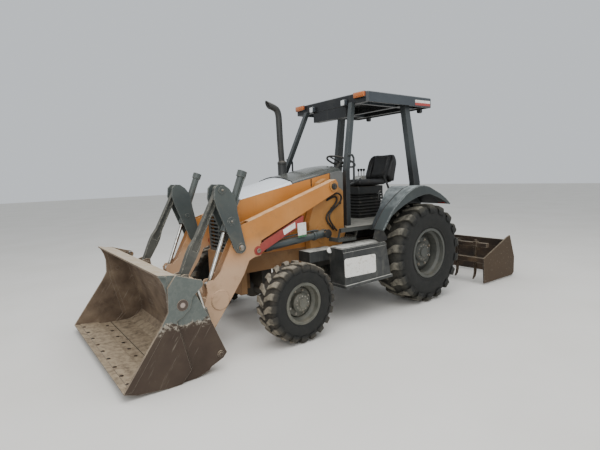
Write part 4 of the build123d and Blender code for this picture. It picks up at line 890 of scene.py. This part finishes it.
wheelBolts = {
    "front": {"x": 2142, "z": 421, "disc": 949, "circle": 128, "size": 15, "hub": 1010, "hubCircle": 74,
              "hubSize": 8},
    "rear": {"x": 0, "z": 656, "disc": 866, "circle": 172, "size": 21, "hub": 898, "hubCircle": 100,
             "hubSize": 9},
}


def fastenWheels():
    for end, look in wheelBolts.items():
        stud = hexBolt(look["size"])
        small = hexBolt(look["hubSize"])
        for side, hand in ((1, "left"), (-1, "right")):
            disc = spot(look["x"], side * look["disc"], look["z"])
            face = spot(look["x"], side * look["hub"], look["z"])
            name = end + "WheelNuts_" + hand
            nuts = fastenAt(name, stud, [(p, (0, side, 0)) for p in ring(disc, look["circle"], 8, 22)])
            caps = fastenAt(name, small, [(p, (0, side, 0)) for p in ring(face, look["hubCircle"], 12)])
            dress(joinAll(name, [nuts, caps]), "bareSteel", "wheel_" + end + "_" + hand)
        bpy.data.objects.remove(stud)
        bpy.data.objects.remove(small)


# Pin heads on the loader: body, x, z, face y, bolt size
pinHeads = [("levers", 2815, 1622, 669, 13), ("levers", 2725, 1304, 658, 12), ("bucket", 3050, 205, 655, 13),
            ("bucket", 3240, 804, 655, 13), ("chassis", 1450, 1040, 610, 12)]
edgeBolts = {"size": 19, "facing": (-0.12, 0, 1), "front": (3888, 72.5), "rear": (3640, 29),
             "across": (-900, -673, -434, -202, 16, 247, 480, 708, 905)}


def fastenLoader():
    for body in sorted({row[0] for row in pinHeads}):
        made = []
        for name, x, z, y, size in pinHeads:
            if name == body:
                head = hexBolt(size)
                made += [fastenAt("pinHead", head, [(spot(x, side * y, z), (0, side, 0))])
                         for side in (1, -1)]
                bpy.data.objects.remove(head)
        dress(joinAll("pinHeads_" + body, made), "bareSteel", body)
    head = domedBolt(edgeBolts["size"])
    places = [(spot(x, y, z), edgeBolts["facing"]) for x, z in (edgeBolts["front"], edgeBolts["rear"])
              for y in edgeBolts["across"]]
    dress(fastenAt("cuttingEdgeBolts", head, places), "oxidisedSteel", "clam")
    bpy.data.objects.remove(head)


# Blank plates and labels: corners in x and z, their y, how far each stands out, and its corners' rounding
blankWork = {
    "sideBoxPlate": {"outline": [(972, 552), (1480, 561), (1485, 781), (980, 776)], "y": 950, "thick": -1.2,
                     "finish": "whitePlate", "round": 26},
    "strutLabel": {"outline": [(1922, 1160), (2078, 1092), (2094, 1152), (1926, 1222)], "y": 631,
                   "thick": -0.8, "finish": "whitePlate", "body": "arms", "round": 3},
    "roofLabelWhite": {"outline": [(-380, 2624), (-60, 2620), (-60, 2655), (-380, 2659)], "y": 725,
                       "thick": -0.8, "finish": "redLabel", "round": 2},
    "roofLabelRed": {"outline": [(-380, 2659), (-60, 2655), (-60, 2690), (-380, 2694)], "y": 725,
                     "thick": -0.8, "finish": "whitePlate", "round": 2},
}


def blankPlate(name, look):
    corners = upright(look["outline"], look["y"])
    face = (corners[1] - corners[0]).cross(corners[2] - corners[1]).normalized()
    piece = drawLine(name, corners)
    bpy.ops.mesh.edge_face_add()
    bpy.ops.mesh.select_mode(type="VERT")
    bpy.ops.mesh.bevel(offset=look["round"] / 1000, segments=4, affect="VERTICES")
    bpy.ops.mesh.select_all(action="SELECT")
    pushOut(face * look["thick"] / 1000)
    settle(piece)
    dress(piece, look["finish"], look.get("body", "chassis"))


# Lamps: a clear lens with ribs behind a bezel, and amber markers moulded with a ribbed lens.
def lens(name, low, high, axis, rounding, finish):
    size = [(h - l) / 1000 for l, h in zip(low, high)]
    middle = spot(*[(l + h) / 2 for l, h in zip(low, high)])
    clearAll()
    bpy.ops.mesh.primitive_cube_add(size=1, location=middle)
    piece = bpy.context.object
    piece.name = name
    setMode("EDIT")
    bpy.ops.transform.resize(value=size, center_override=middle)
    settle(piece)
    roundEdges(piece, rounding, 3)
    choose(piece, "FACE", lambda face: face.normal.dot(Vector(axis)) > 0.95)
    bpy.ops.mesh.inset(thickness=rounding / 1500, depth=0)
    bpy.ops.mesh.inset(thickness=0.002, depth=0.003)
    bpy.ops.mesh.subdivide(number_cuts=1)
    setMode("OBJECT")
    return dress(piece, finish)


lampWork = {
    "frontWorkLamp": {"x": (880, 887), "y": 323, "half": 34, "z": (2608, 2676), "way": 1, "round": 8,
                      "finish": "clearLens"},
    "rearWorkLamp": {"x": (-463, -456), "y": 500, "half": 24, "z": (2571, 2619), "way": -1, "round": 8,
                     "finish": "clearLens"},
    "cornerMarker": {"x": (845, 885), "y": 606, "half": 96, "z": (2664, 2733), "way": 1, "round": 16,
                     "finish": "amberLens"},
    "headlamp": {"x": (2508, 2517), "y": 250, "half": 66, "z": (1334, 1406), "way": 1, "round": 8,
                 "finish": "clearLens"},
    "tailLamp": {"x": (-448, -425), "y": 880, "half": 55, "z": (1290, 1340), "way": -1, "round": 8,
                 "finish": "redLens"},
}


def lampLenses():
    for side, hand in ((1, "Left"), (-1, "Right")):
        for name, look in lampWork.items():
            x, y, z = look["x"], side * look["y"], look["z"]
            low, high = (x[0], y - look["half"], z[0]), (x[1], y + look["half"], z[1])
            lens(name + hand, low, high, (look["way"], 0, 0), look["round"], look["finish"])


# Tubes follow a drawn line that is turned into a curve, given its thickness and made a mesh again.
def tube(name, points, radius, smooth=True, sides=3):
    drawLine(name, points)
    setMode("OBJECT")
    bpy.ops.object.transform_apply()
    bpy.ops.object.convert(target="CURVE")
    curve = bpy.context.object
    if smooth:
        setMode("EDIT")
        bpy.ops.curve.select_all(action="SELECT")
        bpy.ops.curve.spline_type_set(type="NURBS")
        setMode("OBJECT")
        curve.data.splines[0].order_u = 3
        curve.data.splines[0].use_endpoint_u = True
        curve.data.splines[0].resolution_u = 8
    curve.data.bevel_depth = radius / 1000
    curve.data.bevel_resolution = sides
    curve.data.use_fill_caps = True
    bpy.ops.object.convert(target="MESH")
    bpy.ops.object.shade_smooth()
    return bpy.context.object


# Plate on both sides, or one on the left: outline in x and z, near and far y, rounding, finish and body
plateWork = {
    "bucketSeamStrips": {"outline": [(3500, 645), (3370, 110), (3478, 24), (3512, 24), (3425, 112),
                                     (3530, 560), (3540, 650)], "y": (1027, 1044), "round": 1,
                         "finish": "bucketSteel", "body": "bucket"},
    "lipGussets": {"outline": [(3558, 941), (3622, 954), (3585, 880), (3566, 800), (3562, 675), (3505, 640),
                               (3530, 850)], "y": (1025, 1045), "round": 1, "finish": "bucketSteel",
                   "body": "bucket"},
    "boomBrackets": {"outline": [(1425, 1125), (1480, 1125), (1530, 1060), (1520, 960), (1440, 900),
                                 (1400, 960), (1395, 1060)], "y": (495, 512), "round": 2,
                     "finish": "towerEnamel"},
    "mudFlaps": {"outline": [(961, 1056), (811, 1034), (749, 940), (758, 911), (900, 909), (1000, 960)],
                 "y": (925, 935), "round": 3, "finish": "mouldedRubber"},
    "boxLids": {"outline": [(812, 903), (1486, 893), (1486, 899), (812, 909)], "y": (712, 928), "round": 2,
                "finish": "boxEnamel"},
    "hoodLatches": {"outline": [(1476, 1604), (1488, 1604), (1488, 1692), (1476, 1692)], "y": (380, 385),
                    "round": 2, "finish": "mouldedRubber"},
    "tagBacks": {"outline": [(1770, 1068), (1888, 1062), (1892, 1204), (1772, 1208)], "y": (629, 632),
                 "round": 1, "finish": "whitePlate", "body": "arms", "one": True},
    "tagFeet": {"outline": [(1770, 1046), (1888, 1040), (1888, 1064), (1770, 1070)], "y": (629, 632),
                "round": 1, "finish": "greenLabel", "body": "arms", "one": True},
}


def plateParts():
    for name, look in plateWork.items():
        near, far = look["y"]
        left = plate(name + "Left", upright(look["outline"], near), (0, far - near, 0), look["round"])
        dressSides(left, name, look)


# Turned pieces on both sides, or one on the left: middle, axis, section of (along, radius), finish and body
turnedWork = {
    "armPivotCaps": {"middle": (1342, 640, 1595), "finish": "mouldedRubber",
                     "section": [(0, 38), (5, 39), (15, 37), (20, 30), (21, 14), (18, 8), (18, 0)]},
    "leverPinCaps": {"middle": (2625, 657, 1023), "finish": "bareSteel", "body": "arms",
                     "section": [(0, 27), (4, 29), (8, 25), (10, 12), (10, 0)]},
    "strutPinHeads": {"middle": (2412, 638, 963), "finish": "bareSteel", "body": "arms",
                      "section": [(0, 24), (4, 25), (8, 20), (9, 0)]},
    "tubeCapWelds": {"middle": (2877, 622, 520), "finish": "boomEnamel", "body": "arms",
                     "section": [(0, 97), (0, 106), (3, 104), (6, 98), (6, 96)]},
    "liftCollars": {"middle": (1600, 565, 1027.8), "axis": (0.9967, 0, -0.0814), "finish": "cylinderEnamel",
                    "body": "lift_barrels", "section": [(0, 46), (0, 55), (3, 57), (26, 57), (29, 55),
                                                        (29, 46)]},
    "liftGlandRings": {"middle": (2284, 565, 971.9), "axis": (0.9967, 0, -0.0814), "finish": "oxidisedSteel",
                       "body": "lift_barrels", "section": [(8, 27), (8, 44), (11, 46), (19, 44), (22, 36),
                                                           (22, 27)]},
    "tiltGlandRings": {"middle": (2767, 565, 1199.5), "axis": (-0.3745, 0, 0.9272),
                       "finish": "oxidisedSteel", "body": "tilt_barrels",
                       "section": [(-14, 21), (-14, 34), (-10, 38), (-1, 38), (0, 30), (0, 21)]},
    "liftBaseCaps": {"middle": (1450, 638, 1040), "finish": "mouldedRubber",
                     "section": [(0, 52), (4, 54), (8, 50), (10, 30), (9, 0)]},
    "fillerCaps": {"middle": (1500, 702, 850), "axis": (0.2, 0.9, 0.35), "finish": "whitePlate",
                   "section": [(-4, 22), (8, 24), (8, 33), (12, 35), (28, 34), (32, 28), (33, 0)],
                   "one": True},
}


def turnedParts():
    for name, look in turnedWork.items():
        left = turnedPiece(name + "Left", spot(*look["middle"]), look.get("axis", (0, 1, 0)),
                           look["section"])
        dressSides(left, name, look)


# Steel lines and hoses on both sides: points, radius, finish and body, and the points that a clip holds
pipeWork = {
    "towerHoseOuter": {"points": [(1355, 512, 1450), (1300, 522, 1480), (1235, 530, 1505), (1165, 530, 1505),
                                  (1118, 530, 1450), (1160, 528, 1380), (1240, 526, 1330), (1322, 526, 1268),
                                  (1336, 526, 1200), (1262, 524, 1097), (1205, 516, 1045)], "radius": 11,
                       "finish": "mouldedRubber", "clips": (2, 5, 9)},
    "towerHoseInner": {"points": [(1350, 510, 1425), (1290, 512, 1452), (1225, 512, 1470), (1185, 512, 1450),
                                  (1192, 510, 1400), (1262, 508, 1330), (1345, 508, 1262), (1368, 508, 1200),
                                  (1327, 508, 1140), (1250, 508, 1060)], "radius": 11,
                       "finish": "mouldedRubber", "clips": (2, 5, 8)},
    "liftLine": {"points": [(1560, 585, 1085), (1600, 585, 1094), (1660, 585, 1091), (1900, 585, 1072),
                            (2140, 585, 1052), (2222, 583, 1045), (2252, 578, 1030), (2258, 572, 1012)],
                 "radius": 9, "finish": "cylinderEnamel", "body": "lift_barrels"},
    "tiltLine": {"points": [(2524, 606, 1735), (2545, 612, 1712), (2580, 612, 1630), (2640, 612, 1478),
                            (2685, 612, 1368), (2703, 610, 1326), (2710, 604, 1310), (2714, 592, 1300)],
                 "radius": 9, "finish": "leverEnamel", "body": "tilt_barrels"},
    "grabTops": {"points": [(470, 598, 1392), (472, 606, 1440), (480, 606, 1490), (510, 606, 1508),
                            (536, 606, 1480), (540, 606, 1420), (540, 598, 1380)], "radius": 10,
                 "finish": "blackEnamel"},
    "boxLidHinges": {"points": [(830, 712, 906), (1000, 712, 904), (1200, 712, 902), (1460, 712, 898)],
                     "radius": 6, "finish": "boxEnamel"},
}


def pipeParts():
    for name, look in pipeWork.items():
        r = look["radius"]
        left = tube(name + "Left", [spot(*p) for p in look["points"]], r)
        dressSides(left, name, look)
        for k in look.get("clips", ()):
            x, y, z = look["points"][k]
            clip = name + "Clip" + str(k)
            outline = [(x - r - 7, y - 14), (x + r + 3, y - 14), (x + r + 3, y + r + 2),
                       (x - r - 7, y + r + 2)]
            band = plate(clip + "Left", flat(outline, z - 9), (0, 0, 18), 3)
            dressSides(band, clip, {**look, "finish": "oxidisedSteel"})


# Wire screen behind the nose guard: black, its wires 12 mm apart.
def wireScreen():
    finish, shader, add, place = newFinish("wireScreen")
    grid = [add("TexWave", {"Scale": 26.0, "Distortion": 0.0, "bands_direction": direction},
                {"Vector": place}) for direction in ("Y", "Z")]
    wires = add("Math", {"operation": "MAXIMUM"}, {0: (grid[0], "Fac"), 1: (grid[1], "Fac")})
    colour = add("ValToRGB", {"stops": [(0.6, "#060606"), (0.9, "#3A3B36")]}, {0: wires})
    bump = add("Bump", {"Strength": 0.8, "Distance": 0.003}, {"Height": wires})
    join(shader, {"Base Color": colour, "Normal": bump})
    shader.inputs["Roughness"].default_value = 0.7
    return finish


finishes["wireScreen"] = wireScreen()

# The operator's deck with its wings, and a serrated step hung below each
deck = {"top": 1110, "thick": 35, "wing": 6, "band": 50, "edge": 812, "front": 1410, "stepLow": 944,
        "stepBack": 1130, "teeth": 9, "hangers": (1124, 1400), "stepY": (664, 716, 768)}


def stepDeck():
    top, low = deck["top"], deck["top"] - deck["thick"]
    floor = [(-300, -505), (1000, -505), (1000, -400), (1183, -400), (1183, 400), (1000, 400), (1000, 505),
             (-300, 505)]
    parts = [plate("deckFloor", flat(floor, low), (0, 0, deck["thick"]), 2)]
    edge, front = deck["edge"], deck["front"]
    wing = [(400, 506), (1004, 506), (1066, 532), (1170, 620), (1262, 770), (1296, 790), (front, 790),
            (front, edge), (878, edge), (870, 772), (690, 752), (590, 696), (500, 600), (462, 540)]
    sides = [plate("deckWing", flat(wing, top - deck["wing"]), (0, 0, deck["wing"]), 1)]
    bands = [[(878, edge - 8), (front, edge - 8), (front, edge), (878, edge)],
             [(1170, 620), (1176, 616), (1268, 766), (1262, 770)],
             [(front - 8, 790), (front, 790), (front, edge), (front - 8, edge)]]
    for ends in bands:
        sides.append(plate("deckBand", flat(ends, top - deck["band"]), (0, 0, deck["band"]), 1))
    start, foot = deck["stepBack"], deck["stepLow"]
    pitch = (front - start) / deck["teeth"]
    teeth = [(start, foot), (front, foot)]
    for k in range(deck["teeth"], 0, -1):
        x = start + k * pitch
        teeth += [(x, foot + 24), (x - pitch / 2, foot + 42)]
    teeth.append((start, foot + 24))
    for y in deck["stepY"]:
        sides.append(plate("stepTread", upright(teeth, y), (0, 6, 0), 0.6))
    for x in deck["hangers"]:
        hanger = [(600, foot), (776, foot), (776, foot + 46), (806, top - deck["band"] + 6), (806, top - 6),
                  (784, top - 6), (752, foot + 50), (600, foot + 50)]
        sides.append(plate("stepHanger", [spot(x, y, z) for y, z in hanger], (8, 0, 0), 1))
    left = joinAll("deckSideLeft", sides)
    right = copyOf(left, "deckSideRight", toRight)
    return joinAll("operatorDeck", parts + [left, right])


# Rear fenders: a sheet that narrows down its front, with a raised outer band, a bead along it, a skirt and
# an inner wall. Here are the line over its top, where its front's inner edge is, the skirt's lower edge,
# and the y and width of each part.
fender = {
    "line": [(885, 1048), (839, 1106), (790, 1169), (741, 1233), (682, 1297), (579, 1370), (475, 1444),
             (395, 1487), (315, 1522), (215, 1546), (100, 1548), (-15, 1524), (-231, 1432), (-359, 1361),
             (-458, 1284)],
    "inner": [775, 771, 766, 761, 752, 692, 640, 602, 575, 535, 505],
    "skirtLow": [(-450, 1273), (-342, 1327), (-215, 1379), (-14, 1440), (100, 1437), (245, 1411),
                 (400, 1366), (528, 1315), (640, 1262), (731, 1212), (800, 1136), (868, 1050)],
    "wallLow": [(-420, 1180), (-300, 1092), (100, 1092)], "inside": 505, "steps": (335, 160), "sheet": 8,
    "foot": 1092,
    "wall": (503, 10), "skirt": (984, 14), "band": (840, 153), "raise": 11, "sink": 8, "bead": (836, 7),
    "beadOut": 8,
}


def offTyre(x, z, gap):
    up = z - tyres["rear"]["radius"]
    reach = math.hypot(x, up)
    return x + gap * x / reach, z + gap * up / reach


def rearFenders():
    line, inside = fender["line"], fender["inside"]
    sheet = drawLine("fenderSheet", upright(line, inside))
    for step in fender["steps"]:
        pushOut((0, step / 1000, 0))
    setMode("OBJECT")
    bpy.ops.object.transform_apply()
    for (x, z), y in zip(line, fender["inner"]):
        place = spot(x, inside, z)
        choose(sheet, "VERT", lambda point: (point.co - place).length < 0.0005)
        bpy.ops.transform.translate(value=(0, (y - inside) / 1000, 0))
        setMode("OBJECT")
    edge = [spot(x, y, z) for (x, z), y in zip(line, fender["inner"])]
    choose(sheet, "VERT", lambda point: min((point.co - place).length for place in edge) < 0.0005)
    pushOut((0, 0, -0.01))
    bpy.ops.transform.resize(value=(1, 1, 0), center_override=spot(0, 0, fender["foot"]))
    setMode("OBJECT")
    applyModifier(sheet, "sheetMetal", "SOLIDIFY", {"thickness": fender["sheet"] / 1000, "offset": 0})
    settle(sheet)
    raised = [offTyre(x, z, fender["raise"]) for x, z in line]
    raised += [offTyre(x, z, -fender["sink"]) for x, z in reversed(line)]
    parts = [sheet]
    rows = [("wall", line[10:] + fender["wallLow"], 0), ("skirt", line + fender["skirtLow"], 3),
            ("band", raised, 7)]
    for name, outline, rounding in rows:
        y, wide = fender[name]
        parts.append(plate("fender" + name.capitalize(), upright(outline, y), (0, wide, 0), rounding))
    left = joinAll("fenderLeft", parts)
    return joinAll("rearFenders", [left, copyOf(left, "fenderRight", toRight)])


def fenderBeads():
    y, radius = fender["bead"]
    line = [offTyre(x, z, fender["beadOut"]) for x, z in fender["line"]]
    left = tube("fenderBead", upright(line, y), radius, sides=2)
    return joinAll("fenderBeads", [left, copyOf(left, "beadRight", toRight)])


# Exhaust: a can, and a pipe curved forward to a slanted mouth that is hollow for a short way
exhaust = {
    "y": -200, "canFoot": (1500, 1738), "radius": 41, "mouthAt": (1686, 2634), "facing": (0.91, 0, -0.41),
    "bent": 1600, "open": 1640, "wall": 4, "hollow": (-85, 0, -26),
    "can": [(0, 0), (0, 56), (6, 59), (16, 59), (22, 56), (150, 56), (154, 60), (176, 60), (182, 55),
            (196, 43), (196, 0)],
    "run": [(1500, 1900), (1507, 2000), (1514, 2150), (1519, 2300), (1522, 2420), (1524, 2520), (1548, 2586),
            (1600, 2612), (1660, 2630), (1740, 2656)],
}


def exhaustPipe():
    y = exhaust["y"]
    foot, mouthAt = upright([exhaust["canFoot"], exhaust["mouthAt"]], y)
    can = turnedPiece("exhaustCan", foot, (0, 0, 1), exhaust["can"], 40)
    pipe = tube("exhaustRun", upright(exhaust["run"], y), exhaust["radius"], sides=8)
    mouth = Vector(exhaust["facing"])
    bentFrom, mouthFrom = spot(exhaust["bent"], 0, 0).x, spot(exhaust["open"], 0, 0).x
    choose(pipe, "FACE", lambda face: face.center.x > bentFrom)
    bpy.ops.mesh.bisect(plane_co=mouthAt, plane_no=mouth, use_fill=True, clear_outer=True)
    setMode("OBJECT")
    choose(pipe, "FACE", lambda face: face.normal.dot(mouth) > 0.99 and face.center.x > mouthFrom)
    bpy.ops.mesh.inset(thickness=exhaust["wall"] / 1000, depth=0)
    pushOut(Vector(exhaust["hollow"]) / 1000)
    setMode("OBJECT")
    return joinAll("exhaustPipe", [can, pipe])


# Controls and trim of the operator's place: outline in x and z, near and far y, rounding, finish
pedalPad = [(846, 1196), (856, 1192), (900, 1272), (890, 1277)]
pedalArm = [(884, 1236), (966, 1306), (966, 1324), (876, 1250)]
beltStrap = [(-80, 1500), (-36, 1492), (44, 1655), (12, 1672)]
cabWork = {
    "sideConsole": {"outline": [(-262, 1112), (20, 1112), (34, 1560), (4, 1612), (-262, 1640)],
                    "y": (-446, -290), "round": 14, "finish": "mouldedRubber"},
    "consoleTop": {"outline": [(-258, 1634), (-2, 1608), (2, 1640), (-30, 1698), (-110, 1705), (-258, 1702)],
                   "y": (-428, -292), "round": 9, "finish": "silverTag"},
    "brakePedalLeft": {"outline": pedalPad, "y": (-190, -112), "round": 3, "finish": "mouldedRubber"},
    "brakePedalRight": {"outline": pedalPad, "y": (-278, -200), "round": 3, "finish": "mouldedRubber"},
    "clutchPedal": {"outline": pedalPad, "y": (150, 230), "round": 3, "finish": "mouldedRubber"},
    "brakeArmLeft": {"outline": pedalArm, "y": (-158, -144), "round": 2, "finish": "blackEnamel"},
    "brakeArmRight": {"outline": pedalArm, "y": (-246, -232), "round": 2, "finish": "blackEnamel"},
    "clutchArm": {"outline": pedalArm, "y": (183, 197), "round": 2, "finish": "blackEnamel"},
    "beltStrapLeft": {"outline": beltStrap, "y": (252, 256), "round": 1, "finish": "seatVinyl"},
    "beltStrapRight": {"outline": beltStrap, "y": (-256, -252), "round": 1, "finish": "seatVinyl"},
    "beltBuckle": {"outline": [(6, 1654), (52, 1642), (68, 1694), (24, 1706)], "y": (247, 263), "round": 4,
                   "finish": "mouldedRubber"},
    "noseScreen": {"outline": [(2432, 880), (2437, 880), (2437, 1484), (2432, 1484)], "y": (-366, 366),
                   "round": 1, "finish": "wireScreen"},
}
# Turned trim on the middle line or one side: middles, axis, section and finish
cabTurned = {
    "gaugeBezel": {"at": [(937, y, 1768) for y in (-150, -50, 50, 150)], "axis": (-0.985, 0, -0.171),
                   "finish": "bareSteel", "section": [(0, 34), (0, 41), (6, 40), (8, 36), (3, 33)]},
    "gaugeDial": {"at": [(937, y, 1768) for y in (-150, -50, 50, 150)], "axis": (-0.985, 0, -0.171),
                  "finish": "mouldedRubber", "section": [(0, 34), (3, 34), (4, 30), (4, 4), (6, 3), (6, 0)]},
    "leverKnob": {"at": [(x, -368, 1790) for x in (-60, -120, -180)], "axis": (0, 0, 1),
                  "finish": "mouldedRubber", "section": [(-24, 0), (-24, 9), (-10, 16), (6, 21), (18, 16),
                                                         (22, 6), (22, 0)]},
    "leverStem": {"at": [(x, -368, 1626) for x in (-60, -120, -180)], "axis": (0, 0, 1),
                  "finish": "bareSteel", "section": [(0, 0), (0, 20), (14, 18), (20, 7), (150, 6),
                                                     (150, 0)]},
    "radiatorCap": {"at": [(2380, 0, 1545)], "axis": (0, 0, 1), "finish": "mouldedRubber",
                    "section": [(-12, 20), (2, 22), (4, 34), (16, 34), (20, 28), (20, 0)]},
}

# Rubber seal over the hood's back edge, along its crown and round its corners
hoodSeal = {"x": 1764, "top": 1748, "crown": 1051.8, "corner": [(379, 1668), (366, 1688), (340, 1697)],
            "drop": 18.6, "radius": 6}


def cabParts():
    dress(stepDeck(), "deckEnamel")
    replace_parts(bpy.data.objects["operatorDeck"], "platform")
    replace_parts(dress(rearFenders(), "fenderEnamel"), "fenders")
    dress(fenderBeads(), "mouldedRubber")
    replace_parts(dress(exhaustPipe(), "blackEnamel"), "exhaust_stack")
    for name, look in cabWork.items():
        near, far = look["y"]
        dress(plate(name, upright(look["outline"], near), (0, far - near, 0), look["round"]), look["finish"])
    for name, look in cabTurned.items():
        made = [turnedPiece(name, spot(*at), look["axis"], look["section"], 28) for at in look["at"]]
        dress(joinAll(name + "s", made), look["finish"])
    bend, corner = hoodSeal["crown"], hoodSeal["corner"]
    crest = [(y, hoodSeal["top"] - bend + math.sqrt(bend ** 2 - y ** 2)) for y in range(-300, 301, 100)]
    across = [(-y, z) for y, z in corner] + crest + corner[::-1]
    dress(tube("hoodSeal", [spot(hoodSeal["x"], y, z - hoodSeal["drop"]) for y, z in across],
               hoodSeal["radius"]), "mouldedRubber")


fastenWheels()
fastenLoader()
cabParts()
for name, look in blankWork.items():
    blankPlate(name, look)
lampLenses()
plateParts()
turnedParts()
pipeParts()
print("stage: bolts, labels and lamps modelled")
